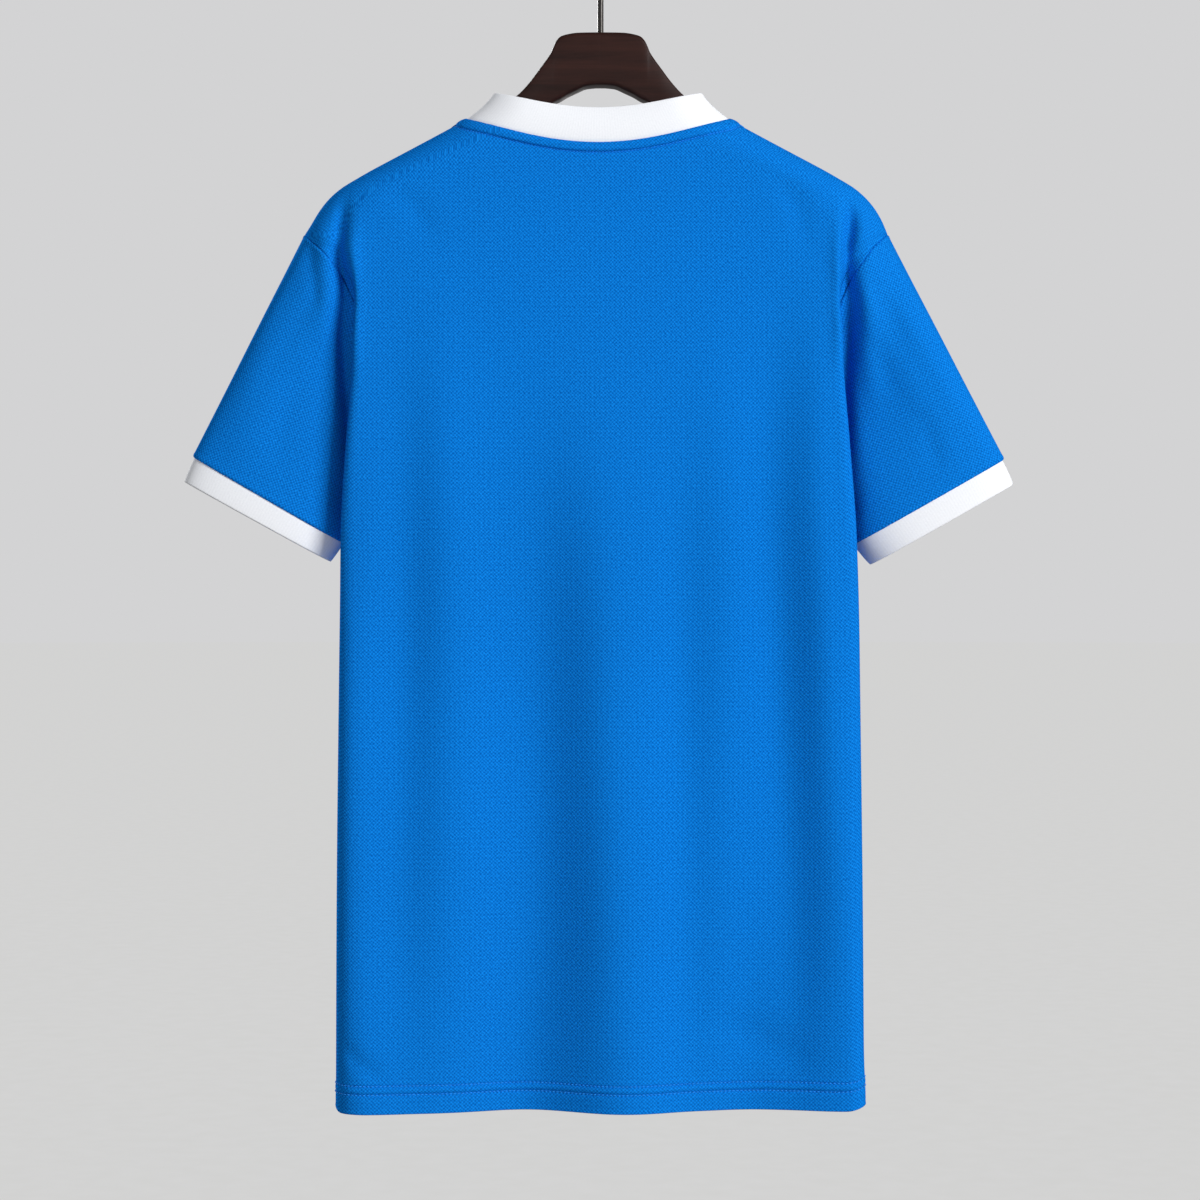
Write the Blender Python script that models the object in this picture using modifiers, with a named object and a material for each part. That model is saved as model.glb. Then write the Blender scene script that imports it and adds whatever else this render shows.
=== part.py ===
"""A football jersey with rib collar and cuffs, hung on a wooden hanger.

+Z is up and the wearer faces -Y, so +X is the wearer's left. The origin is the point inside the top
of the wire hook where a rail holds it. Sizes are in millimetres, and become metres as a mesh is made.
A height on the garment is its drop below the neck point, where the shoulder meets the collar.
"""

import math

import bmesh
import bpy
import numpy as np

MM = 0.001

# ------------------------------------------------------------------ driving sizes
BODY_LENGTH = 712.0  # neck point to hem
SHOULDER_DROP = 84.0  # where the shoulder ends and the sleeve begins
UNDERARM_DROP = 232.0
BACK_NECK = {"drop": 21.2, "round": 1.3}  # a larger round is flatter towards the neck point
FRONT_NECK = {"drop": 85.0, "round": 1.1}
ARMHOLE_ROUND = 2.2  # the same for the panels' rows from the shoulder's end down

JERSEY_WALL = 1.2
CUFF_WALL = 1.6
COLLAR_WALL = 2.0
SEAM_GAP = 0.3
EDGE_LEAN = 0.15  # how far a panel's inner edge can lean past its outer one at the side and shoulder

COLLAR_NARROWING = 0.79  # the collar's top edge against its seam, side to side
COLLAR_LEAN_BACK = 0.78  # the same from the centre to the back
COLLAR_LEAN_FRONT = 0.87
COLLAR_TOP_DROP = {"back": -5.2, "side": -18.8, "front": 58.5}
COLLAR_BULGE = 1.8

SLEEVE_END_IN = (187.2, 305.5)  # underarm end of the sleeve's edge: x, drop
SLEEVE_END_OUT = (292.6, 245.5)  # top end of the sleeve's edge: x, drop
SLEEVE_END_HALF_DEPTH = 26.0
SLEEVE_RINGS = 8
CUFF_LENGTH = 20.0
CUFF_RUN = (0.40, 0.917)  # the way the cuff hangs: x, drop
CUFF_INSET = 1.0

HOOK_RISE = 71.0  # hang point above the top of the wood
HEAD_TOP_DROP = -58.8
WIRE = 4.4
HOOK_INNER_RADIUS = 17.0
HOOK_LOW_ANGLE = -75.0  # where the hook's round meets the bend of the stem
HOOK_TIP_ANGLE = 200.0
STEM_DEPTH = 26.0
STEM_CLEARANCE = 0.3

NECK_Z = HEAD_TOP_DROP - HOOK_RISE
HOOK_RADIUS = HOOK_INNER_RADIUS + WIRE / 2

# ------------------------------------------------------------------ how the cloth hangs
# The ridge of the shoulder, from the neck point over the end of the hanger: drop, x
RIDGE = (
    (0.0, 93.8),
    (36.9, 162.9),
    (44.2, 175.2),
    (51.4, 186.4),
    (58.7, 194.4),
    (65.9, 200.2),
    (73.1, 204.5),
    (84.0, 209.6),
)

# Half of the back's outline on the shoulder is steered by six points from the centre line to the
# ridge. All but the first, on the centre line, are listed: x from the ridge, y as a share of the
# middle's y, which grows from the neck point down. The outline is rounder at the neck.
NECK_MID_Y = 26.5
MID_Y_GROWTH = 0.055
NECK_STEER = ((-68.0, 1.0), (-36.0, 0.9), (-9.0, 0.6), (0.0, 0.28), (0.0, 0.0))
SHOULDER_STEER = ((-54.0, 1.0), (-32.0, 0.98), (-12.0, 0.76), (0.0, 0.37), (0.0, 0.0))
NECK_REACH = 34.0  # the drop by which the shoulder's own outline takes over

# The same six points below the shoulder. The panel runs flat to its bend, turns round the edge that
# shows from behind, comes back under itself and is tucked in to its seam: first the armhole's, then
# the side's. The back's half is listed, and the front mirrors it.
# drop, mid_y, bend_x, edge_x, edge_y, under_x, under_y, tuck_x, tuck_y, seam_x, seam_y
DRAPE = (
    (84.0, 31.1, 155.6, 177.6, 30.5, 197.6, 23.6, 209.6, 11.5, 209.6, 0.0),
    (88.5, 31.4, 156.5, 178.0, 31.2, 192.0, 27.0, 200.5, 21.5, 206.3, 15.5),
    (94.0, 31.7, 157.5, 177.5, 32.2, 188.0, 28.5, 196.0, 25.0, 202.0, 21.5),
    (103.2, 32.2, 158.5, 175.5, 33.6, 183.5, 28.0, 189.5, 26.4, 195.1, 25.2),
    (114.4, 32.8, 158.0, 174.5, 34.6, 179.0, 26.0, 182.5, 25.5, 186.7, 25.4),
    (124.0, 33.3, 157.5, 174.2, 35.2, 176.5, 23.5, 178.8, 22.4, 181.8, 22.6),
    (132.0, 33.8, 157.0, 174.0, 35.8, 175.5, 21.5, 176.8, 19.5, 178.0, 18.5),
    (152.0, 34.8, 158.0, 174.3, 36.8, 174.3, 23.0, 171.5, 17.0, 168.0, 13.0),
    (177.0, 35.9, 159.0, 174.8, 37.8, 174.8, 24.0, 161.0, 13.0, 152.0, 9.0),
    (207.0, 36.9, 160.0, 177.0, 38.5, 177.0, 24.0, 150.0, 11.0, 140.0, 5.0),
    (232.0, 37.5, 161.0, 179.2, 39.0, 179.2, 24.0, 134.0, 9.0, 134.0, 0.0),
    (305.0, 38.0, 162.0, 184.0, 39.0, 184.0, 21.0, 140.0, 9.0, 140.0, 0.0),
    (448.0, 38.0, 163.0, 186.3, 38.0, 186.3, 18.0, 147.0, 10.0, 147.0, 0.0),
    (562.0, 38.0, 163.0, 187.5, 37.5, 187.5, 15.0, 151.0, 10.0, 151.0, 0.0),
    (712.0, 38.0, 163.0, 188.2, 37.0, 188.2, 13.0, 155.0, 9.0, 155.0, 0.0),
)

# Soft folds that deepen to the hem: centre along the cloth from the centre line, half width, depth
# at the hem (+ outwards), the drop where the fold begins, and its drift from there to the hem
BACK_FOLDS = (
    (158.0, 42.0, 13.0, 200.0, 0.0),
    (52.0, 34.0, -11.0, 130.0, 0.0),
    (-18.0, 36.0, 11.0, 180.0, 0.0),
    (-104.0, 38.0, -11.0, 110.0, -4.0),
)
FRONT_FOLDS = (
    (-146.0, 40.0, 11.0, 220.0, 0.0),
    (-64.0, 36.0, -10.0, 170.0, 6.0),
    (10.0, 34.0, 9.0, 260.0, 0.0),
    (88.0, 38.0, -11.0, 150.0, -6.0),
)
FOLD_FADE = (165.0, 198.0)  # the folds die away along the cloth before it turns under

# The panel's columns, as places along its half outline: 0 centre line, 1 bend, 2 edge, 3 tuck, 4 seam
COLUMNS = np.concatenate([np.linspace(0, 1, 9), np.linspace(1, 4, 10)[1:]])
# The panel's rows, as drops of its edge
SIDE_ROWS = np.linspace(BODY_LENGTH, UNDERARM_DROP, 12)
ARMHOLE_ROWS = (232.0, 214.0, 195.0, 177.0, 160.0, 146.0, 133.0, 124.0, 114.4, 103.2, 94.0, 88.5, 84.0)
SHOULDER_ROWS = (73.1, 62.0, 51.4, 40.5, 27.0, 13.5, 0.0)
OUTLINE_STEPS = 12

# The hanger's outline from its middle to an arm's end: x, drop of the top, drop of the underside,
# half depth, squareness of the section
HANGER_STATIONS = (
    (0.0, -58.8, -21.3, 10.0, 4.5),
    (14.0, -58.8, -18.6, 10.0, 4.5),
    (26.0, -58.6, -13.8, 10.0, 4.5),
    (30.0, -56.6, -12.0, 10.0, 4.5),
    (33.5, -52.3, -10.3, 10.0, 4.5),
    (37.4, -43.6, -7.9, 9.9, 4.2),
    (43.6, -35.0, -4.0, 9.7, 4.0),
    (50.4, -26.3, 0.4, 9.4, 3.6),
    (58.3, -17.7, 5.6, 9.0, 3.1),
    (74.0, -5.5, 16.5, 8.4, 2.6),
    (95.0, 7.5, 28.5, 8.8, 2.5),
    (118.0, 18.5, 39.0, 10.6, 2.5),
    (140.0, 28.8, 49.0, 12.8, 2.5),
    (162.9, 39.3, 58.0, 14.5, 2.5),
    (174.0, 46.0, 63.5, 14.5, 2.4),
    (181.0, 51.5, 65.5, 13.0, 2.2),
    (185.5, 57.0, 64.5, 8.5, 2.0),
)
SECTION_POINTS = 16


def world(x, y, drop):
    return np.array((x, y, NECK_Z - drop))


def unit(way):
    return way / np.linalg.norm(way)


def unit_rows(ways):
    return ways / np.linalg.norm(ways, axis=1)[:, None]


def smooth(table, at):
    """The other columns of a table at a value of its first, by a cubic that never swings past a row."""
    table = np.asarray(table)
    knots, values = table[:, 0], table[:, 1:]
    steps = np.diff(knots)[:, None]
    slopes = np.diff(values, axis=0) / steps
    tangents = np.zeros_like(values)
    tangents[0], tangents[-1] = slopes[0], slopes[-1]
    before, after = slopes[:-1], slopes[1:]
    level = before * after <= 0
    mean = 2 * before * after / np.where(level, 1.0, before + after)
    tangents[1:-1] = np.where(level, 0.0, mean)
    i = int(np.clip(np.searchsorted(knots, at, side="right") - 1, 0, len(steps) - 1))
    t = (at - knots[i]) / steps[i, 0]
    return (
        (1 + 2 * t) * (1 - t) ** 2 * values[i]
        + t * (1 - t) ** 2 * steps[i] * tangents[i]
        + t**2 * (3 - 2 * t) * values[i + 1]
        - t**2 * (1 - t) * steps[i] * tangents[i + 1]
    )


def steering_points(drop):
    """The six points that steer half of the outline at this drop, from the centre line to the seam."""
    if drop < SHOULDER_DROP:
        ridge = smooth(RIDGE, max(drop, 0.0))[0]
        mid_y = NECK_MID_Y + MID_Y_GROWTH * drop
        below_neck = np.clip(drop / NECK_REACH, 0, 1)
        steer = (1 - below_neck) * np.array(NECK_STEER) + below_neck * np.array(SHOULDER_STEER)
        return np.array([(0.0, mid_y)] + [(ridge + x, share * mid_y) for x, share in steer])
    mid_y, bend_x, *others = smooth(DRAPE, drop)
    return np.array([(0.0, mid_y), (bend_x, mid_y), *zip(others[::2], others[1::2])])


def outline(drop):
    """Half of the outline at this drop as x, y points, and how far along the cloth each one lies.

    It is a smooth curve in four pieces, which meet halfway between the inner steering points."""
    steer = steering_points(drop)
    joins = [steer[0], *(steer[1:4] + steer[2:5]) / 2, steer[5]]
    t = np.linspace(0, 1, OUTLINE_STEPS + 1)[:, None]
    points = [steer[:1]]
    for start, middle, end in zip(joins, steer[1:], joins[1:]):
        piece = (1 - t) ** 2 * start + 2 * t * (1 - t) * middle + t**2 * end
        points.append(piece[1:])
    points = np.vstack(points)
    lengths = np.linalg.norm(np.diff(points, axis=0), axis=1)
    return points, np.concatenate([[0.0], np.cumsum(lengths)])


def fold_depth(along, drop, folds):
    depth = 0.0
    for centre, half_width, hem_depth, start, drift in folds:
        grown = np.clip((drop - start) / (BODY_LENGTH - start), 0, 1)
        across = (along - centre - drift * grown) / half_width
        depth += hem_depth * grown * math.exp(-(across**2))
    fade = np.clip((FOLD_FADE[1] - abs(along)) / (FOLD_FADE[1] - FOLD_FADE[0]), 0, 1)
    return depth * fade**2 * (3 - 2 * fade)


def cloth_point(along, drop, folds, side):
    """A point of the back (side 1) or the front (side -1), by its place along the cloth and its drop."""
    points, lengths = outline(drop)
    x = np.interp(abs(along), lengths, points[:, 0])
    y = np.interp(abs(along), lengths, points[:, 1]) + fold_depth(along, drop, folds)
    return world(math.copysign(x, along), side * y, drop)


# ------------------------------------------------------------------ sleeves
def armhole_points():
    """The armhole's back half on the wearer's left, from the underarm to the shoulder."""
    return [world(*outline(drop)[0][-1], drop) for drop in ARMHOLE_ROWS]


def armhole_shares():
    """How far round the armhole's half each of its points lies, from 0 to 1."""
    lengths = np.linalg.norm(np.diff(armhole_points(), axis=0), axis=1)
    return np.concatenate([[0.0], np.cumsum(lengths)]) / lengths.sum()


def sleeve_end_point(share, inset=0.0):
    """A point of the sleeve's edge, a flat oval from the underarm (share 0) to the top (share 1)."""
    inner, outer = np.array(SLEEVE_END_IN), np.array(SLEEVE_END_OUT)
    line = unit(outer - inner) * inset
    x, drop = (inner + outer) / 2 - (outer - inner - 2 * line) / 2 * math.cos(math.pi * share)
    fullness = max(0.0, math.sin(math.pi * share)) ** 0.9
    return world(x, (SLEEVE_END_HALF_DEPTH - inset) * fullness, drop)


def sleeve_half():
    """Rings of the left sleeve's back half, from the armhole to the cuff."""
    starts = armhole_points()
    ends = [sleeve_end_point(share) for share in armhole_shares()]
    rings = []
    for v in np.linspace(0, 1, SLEEVE_RINGS + 1):
        rings.append([(1 - v) * start + v * end for start, end in zip(starts, ends)])
    return np.array(rings)


def seam_shifts():
    """For each point of the armhole, the shift that opens half of the seam's gap on the body's side."""
    rings = sleeve_half()
    seam_ways = unit_rows(np.gradient(rings[0], axis=0))
    seam_ways[[0, -1]] = (0, 1, 0)
    shifts = []
    for i, drop in enumerate(ARMHOLE_ROWS):
        points = outline(drop)[0]
        body_way = unit(np.array((*(points[-3] - points[-1]), 0.0)))
        sleeve_way = unit(rings[1, i] - rings[0, i])
        across = body_way - sleeve_way
        across -= across @ seam_ways[i] * seam_ways[i]
        shifts.append(unit(across) * SEAM_GAP / 2)
    return np.array(shifts)


def whole_rings(half_rings):
    """Closed rings from the rings of the back's half and its mirror in the front."""
    front = half_rings[:, -2:0:-1] * (1, -1, 1)
    return np.concatenate([half_rings, front], axis=1)


# ------------------------------------------------------------------ panels
def panel_rows(neck, folds, side):
    """The back's (side 1) or the front's (side -1) points, in rows from the hem up to the neckline."""
    edge_drops = [*SIDE_ROWS[:-1], *ARMHOLE_ROWS, *SHOULDER_ROWS]
    places = np.concatenate([-COLUMNS[::-1], COLUMNS[1:]])
    shifts = dict(zip(ARMHOLE_ROWS, seam_shifts()))
    rows = []
    for edge_drop in edge_drops:
        lengths = outline(edge_drop)[1]
        shoulder_lengths = outline(min(edge_drop, SHOULDER_DROP))[1]
        rise = (BODY_LENGTH - edge_drop) / BODY_LENGTH
        below_neck = min(1.0, edge_drop / SHOULDER_DROP)
        roundness = neck["round"] + (ARMHOLE_ROUND - neck["round"]) * below_neck
        row = []
        for place in places:
            half = np.interp(abs(place), range(5), lengths[::OUTLINE_STEPS])
            share = np.interp(abs(place), range(5), shoulder_lengths[::OUTLINE_STEPS])
            share /= shoulder_lengths[-1]
            top = neck["drop"] * max(0.0, 1 - share**2) ** roundness
            drop = BODY_LENGTH - (BODY_LENGTH - top) * rise
            row.append(cloth_point(math.copysign(half, place), drop, folds, side))
        for end, x_side in ((0, -1), (-1, 1)):
            shift = shifts.get(edge_drop, np.zeros(3)) * (x_side, side, 1)
            row[end] = row[end] + shift
            row[end][1] = side * max(side * row[end][1], SEAM_GAP / 2 + EDGE_LEAN)
        rows.append(row[::-1] if side > 0 else row)
    return np.array(rows)


def collar_rings(back_rows, front_rows):
    """Rings of the collar, from the neckline of the two panels up to its top edge."""
    seam = np.vstack([back_rows[-1], front_rows[-1]])
    neck_drops = np.where(seam[:, 1] > 0, BACK_NECK["drop"], FRONT_NECK["drop"])
    top_mids = np.where(seam[:, 1] > 0, COLLAR_TOP_DROP["back"], COLLAR_TOP_DROP["front"])
    leans = np.where(seam[:, 1] > 0, COLLAR_LEAN_BACK, COLLAR_LEAN_FRONT)
    shares = (NECK_Z - seam[:, 2]) / neck_drops
    top_drops = COLLAR_TOP_DROP["side"] + (top_mids - COLLAR_TOP_DROP["side"]) * shares
    top = np.column_stack([seam[:, 0] * COLLAR_NARROWING, seam[:, 1] * leans, NECK_Z - top_drops])
    outwards = np.sign(seam[:, 1]) * COLLAR_BULGE * shares
    rings = []
    for t in (0.0, 0.35, 0.75, 1.0):
        ring = (1 - t) * seam + t * top
        ring[:, 1] += outwards * math.sin(math.pi * t)
        rings.append(ring)
    rings[0] = seam + unit_rows(rings[1] - seam) * SEAM_GAP
    return np.array(rings)


# ------------------------------------------------------------------ meshes and materials
def linear(channel):
    channel /= 255
    return channel / 12.92 if channel <= 0.04045 else ((channel + 0.055) / 1.055) ** 2.4


def material(name, red, green, blue, roughness, metallic=0.0):
    made = bpy.data.materials.new(name)
    made.use_nodes = True
    shader = made.node_tree.nodes["Principled BSDF"]
    shader.inputs["Base Color"].default_value = (linear(red), linear(green), linear(blue), 1)
    shader.inputs["Roughness"].default_value = roughness
    shader.inputs["Metallic"].default_value = metallic
    return made


def add_object(name, data, collection, look):
    thing = bpy.data.objects.new(name, data)
    if look:
        data.materials.append(look)
    collection.objects.link(thing)
    return thing


def loft_mesh(name, rings, closed, capped=False):
    """Faces between rows of points, for shapes that change from row to row. Rings may have end caps."""
    mesh = bpy.data.meshes.new(name)
    shape = bmesh.new()
    verts = [[shape.verts.new(point * MM) for point in ring] for ring in rings]
    count = len(rings[0])
    for low, high in zip(verts, verts[1:]):
        for i in range(count if closed else count - 1):
            j = (i + 1) % count
            shape.faces.new((low[i], low[j], high[j], high[i]))
    if capped:
        shape.faces.new(verts[0][::-1])
        shape.faces.new(verts[-1])
    for face in shape.faces:
        face.smooth = True
    shape.to_mesh(mesh)
    shape.free()
    return mesh


def add_cloth(name, rows, closed, wall, collection, look):
    """A cloth wall: a lofted outer surface, with its thickness laid inside it."""
    cloth = add_object(name, loft_mesh(name, rows, closed), collection, look)
    solidify = cloth.modifiers.new("wall", "SOLIDIFY")
    solidify.thickness = wall * MM
    solidify.offset = -1
    solidify.use_even_offset = True
    solidify.use_quality_normals = True
    return cloth


def add_sleeves_and_cuffs(collection, blue, white):
    halves = sleeve_half()
    halves[0] -= seam_shifts()
    cuff_seam = np.array([sleeve_end_point(share, CUFF_INSET) for share in armhole_shares()])
    run = np.array((CUFF_RUN[0], 0.0, -CUFF_RUN[1]))
    cuff_halves = np.array([cuff_seam + run * length for length in (1.5 * SEAM_GAP, CUFF_LENGTH)])
    pieces = (
        ("sleeve", halves, JERSEY_WALL, blue),
        ("cuff", cuff_halves, CUFF_WALL, white),
    )
    for piece, half_rings, wall, look in pieces:
        rings = whole_rings(half_rings)
        add_cloth(f"{piece}_left", rings, True, wall, collection, look)
        add_cloth(f"{piece}_right", rings[:, ::-1] * (-1, 1, 1), True, wall, collection, look)


def add_hanger(collection, cutters, look):
    """The wooden hanger, lofted from station to station, with a hole for the hook's stem."""
    angles = np.linspace(0, 2 * math.pi, SECTION_POINTS, endpoint=False)
    rings = []
    for x, top, under, half_depth, square in HANGER_STATIONS:
        across = np.sign(np.cos(angles)) * np.abs(np.cos(angles)) ** (2 / square)
        upward = np.sign(np.sin(angles)) * np.abs(np.sin(angles)) ** (2 / square)
        drops = (top + under) / 2 - (under - top) / 2 * upward
        points = zip(across * half_depth, drops)
        rings.append(np.array([world(x, y, drop) for y, drop in points]))
    rings = [ring * (-1, 1, 1) for ring in rings[:0:-1]] + rings
    hanger = add_object("hanger", loft_mesh("hanger", rings, True, capped=True), collection, look)

    hole_bottom = -HOOK_RISE - STEM_DEPTH
    hole_top = -HOOK_RISE + WIRE
    bpy.ops.mesh.primitive_cylinder_add(
        vertices=16,
        radius=(WIRE / 2 + STEM_CLEARANCE) * MM,
        depth=(hole_top - hole_bottom) * MM,
        location=(0, 0, (hole_top + hole_bottom) / 2 * MM),
    )
    cutter = bpy.context.object
    cutter.name = "stem_hole"
    for owner in cutter.users_collection:
        owner.objects.unlink(cutter)
    cutters.objects.link(cutter)
    cutter.hide_render = True
    cutter.display_type = "WIRE"
    boolean = hanger.modifiers.new("stem hole", "BOOLEAN")
    boolean.object = cutter
    boolean.operation = "DIFFERENCE"
    boolean.solver = "EXACT"
    return hanger


def hook_path():
    """The hook's wire: up the stem, round the bend that sets it aside, and over the top to its tip."""
    low = math.radians(HOOK_LOW_ANGLE)
    bend_radius = HOOK_RADIUS * math.cos(low) / (1 - math.cos(low))
    centre_z = -HOOK_INNER_RADIUS
    bend_z = centre_z + HOOK_RADIUS * math.sin(low) + bend_radius * math.sin(low)
    stem_bottom = -HOOK_RISE - STEM_DEPTH + STEM_CLEARANCE
    path = [(0.0, z) for z in np.linspace(stem_bottom, bend_z, 5)]
    for turn in np.linspace(0, -low, 6)[1:]:
        path.append((bend_radius * (1 - math.cos(turn)), bend_z + bend_radius * math.sin(turn)))
    for angle in np.linspace(low, math.radians(HOOK_TIP_ANGLE), 17)[1:]:
        path.append((HOOK_RADIUS * math.cos(angle), centre_z + HOOK_RADIUS * math.sin(angle)))
    return path


def add_hook(collection, look):
    curve = bpy.data.curves.new("hook", "CURVE")
    curve.dimensions = "3D"
    curve.bevel_depth = WIRE / 2 * MM
    curve.bevel_resolution = 2
    curve.use_fill_caps = True
    path = hook_path()
    line = curve.splines.new("POLY")
    line.points.add(len(path) - 1)
    for point, (x, z) in zip(line.points, path):
        point.co = (x * MM, 0, z * MM, 1)
    return add_object("hook", curve, collection, look)


def main():
    for thing in list(bpy.data.objects):
        bpy.data.objects.remove(thing)
    jersey = bpy.data.collections.new("Football jersey on a hanger")
    cutters = bpy.data.collections.new("Cutters")
    for collection in (jersey, cutters):
        bpy.context.scene.collection.children.link(collection)

    blue = material("blue polyester knit", 18, 112, 204, roughness=0.65)
    white = material("white rib knit", 238, 241, 247, roughness=0.8)
    wood = material("dark brown stained wood", 48, 34, 32, roughness=0.4)
    steel = material("dark steel wire", 58, 56, 55, roughness=0.35, metallic=1.0)

    back_rows = panel_rows(BACK_NECK, BACK_FOLDS, side=1)
    front_rows = panel_rows(FRONT_NECK, FRONT_FOLDS, side=-1)
    add_cloth("back", back_rows, False, JERSEY_WALL, jersey, blue)
    add_cloth("front", front_rows, False, JERSEY_WALL, jersey, blue)
    add_sleeves_and_cuffs(jersey, blue, white)
    add_cloth("collar", collar_rings(back_rows, front_rows), True, COLLAR_WALL, jersey, white)
    add_hanger(jersey, cutters, wood)
    add_hook(jersey, steel)


main()
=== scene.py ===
"""A blue football jersey with a white rib collar and cuffs, hung on a dark wooden hanger.

+Z is up and the wearer faces -Y, so +X is the wearer's left. The origin is the inside of the top of
the hanger's hook. Sizes are in millimetres, and become metres as a mesh is made. A height on the
garment is its drop below the neck point, where the shoulder meets the collar.
"""

import math

import bpy
import numpy as np
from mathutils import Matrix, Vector


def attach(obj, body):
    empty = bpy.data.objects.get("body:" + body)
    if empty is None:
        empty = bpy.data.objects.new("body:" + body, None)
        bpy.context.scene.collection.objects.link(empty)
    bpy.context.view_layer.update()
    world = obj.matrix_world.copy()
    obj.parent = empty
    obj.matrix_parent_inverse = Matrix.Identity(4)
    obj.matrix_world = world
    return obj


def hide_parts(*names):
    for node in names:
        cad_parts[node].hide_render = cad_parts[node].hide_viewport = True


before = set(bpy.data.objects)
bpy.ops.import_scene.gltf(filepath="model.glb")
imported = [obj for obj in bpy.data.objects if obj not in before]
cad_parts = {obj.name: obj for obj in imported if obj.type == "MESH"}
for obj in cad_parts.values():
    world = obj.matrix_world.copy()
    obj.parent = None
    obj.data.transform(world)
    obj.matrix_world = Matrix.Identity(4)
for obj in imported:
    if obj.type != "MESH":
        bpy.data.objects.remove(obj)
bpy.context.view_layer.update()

MM = 0.001

# ---------------- driving sizes
BODY_LENGTH = 712.0  # neck point to hem
SHOULDER_DROP = 84.0  # where the shoulder ends and the sleeve begins
UNDERARM_DROP = 232.0
BACK_NECK = {"drop": 21.2, "round": 1.3}
FRONT_NECK = {"drop": 85.0, "round": 1.1}
ARMHOLE_ROUND = 2.2

COLLAR_NARROWING = 0.79
COLLAR_LEAN_BACK = 0.78
COLLAR_LEAN_FRONT = 0.87
COLLAR_TOP_DROP = {"back": -5.2, "side": -18.8, "front": 58.5}
COLLAR_BULGE = 1.8
COLLAR_HOLLOW = 0.026  # how far its two ends are hollowed, as a share of their x
COLLAR_WALL = 2.0

# x and drop at the underarm and at the outer edge: where the sleeve ends, and where its cuff ends
LEFT_SLEEVE_END = ((182.7, 307.0), (291.3, 244.6))
LEFT_CUFF_END = ((193.1, 321.4), (299.1, 263.2))
RIGHT_SLEEVE_END = ((183.5, 308.0), (292.2, 246.4))
RIGHT_CUFF_END = ((196.4, 323.4), (300.4, 264.5))
SLEEVE_END_HALF_DEPTH = 26.0
SLEEVE_FULLNESS = (0.46, 0.22)  # at the underarm and the outer edge: less is fuller and blunter
FULLNESS_SHARE = 0.6  # the share of the way round in which it changes
CUFF_INSET = 1.0
CUFF_WALL = 1.2
LEAN = (1.9, 0.7)  # the garment hangs this far to its left at the shoulders and at the hem
LEAN_FROM = (235.0, 140.0)  # the drop where it changes, and the stretch that it takes
# Left and right aren't quite alike. In each table by side, 1 is the left and -1 the right.
SEAM_DRAWN_IN = {1: 1.9, -1: 2.8}  # how far in from the frame's each armhole seam lies
DRAWN_IN_FROM, DRAWN_IN_TO = (87.0, 9.0), (132.0, 34.0)  # a drop, and the stretch that it takes
SHOULDER_END_OUT = {1: 2.4, -1: -0.6}  # how far out each seam's top lies
SHOULDER_END = (89.0, 10.0)  # its drop and its half height
SEAM_PULL = 24.0  # how far the seam pulls the cloth along
SHOULDER_SAG = 1.3
SAG_PLACE, SAG_REACH = (132.0, 40.0), (52.0, 60.0)  # x and drop
ARM_CLEARANCE = 1.8  # how far the hanger's arms lie under the shoulders, besides the sag
ARM_CLEARANCE_FROM = (85.0, 40.0)  # x, and the stretch that it takes
# The two panels' edges pass each other by a hair, so that the side seams are shut.
SIDE_SEAM_LAP = 0.16
SIDE_SEAM_LAP_WIDTH = 0.3  # how far from the edge
SIDE_SEAM_LAP_START = 20.0  # the stretch below the underarm in which it begins

HOOK_RISE = 71.0
HEAD_TOP_DROP = -58.8
WIRE = 4.4
HOOK_INNER_RADIUS = 17.0
HOOK_LOW_ANGLE = -75.0
HOOK_TIP_ANGLE = 200.0
STEM_DEPTH = 26.0
STEM_CLEARANCE = 0.3
STEM_STEPS, BEND_STEPS, HOOK_STEPS = 4, 10, 40

NECK_Z = HEAD_TOP_DROP - HOOK_RISE
HOOK_RADIUS = HOOK_INNER_RADIUS + WIRE / 2

RIDGE = (
    (0, 93.8), (36.9, 162.9), (44.2, 175.2), (51.4, 186.4), (58.7, 194.4), (65.9, 200.2), (73.1, 204.5),
    (84, 209.6),
)
NECK_MID_Y = 26.5
MID_Y_GROWTH = 0.055
NECK_STEER = ((-68.0, 1.0), (-36.0, 0.9), (-9.0, 0.6), (0.0, 0.28), (0.0, 0.0))
SHOULDER_STEER = ((-54.0, 1.0), (-32.0, 0.98), (-12.0, 0.76), (0.0, 0.37), (0.0, 0.0))
NECK_REACH = 34.0
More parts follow.
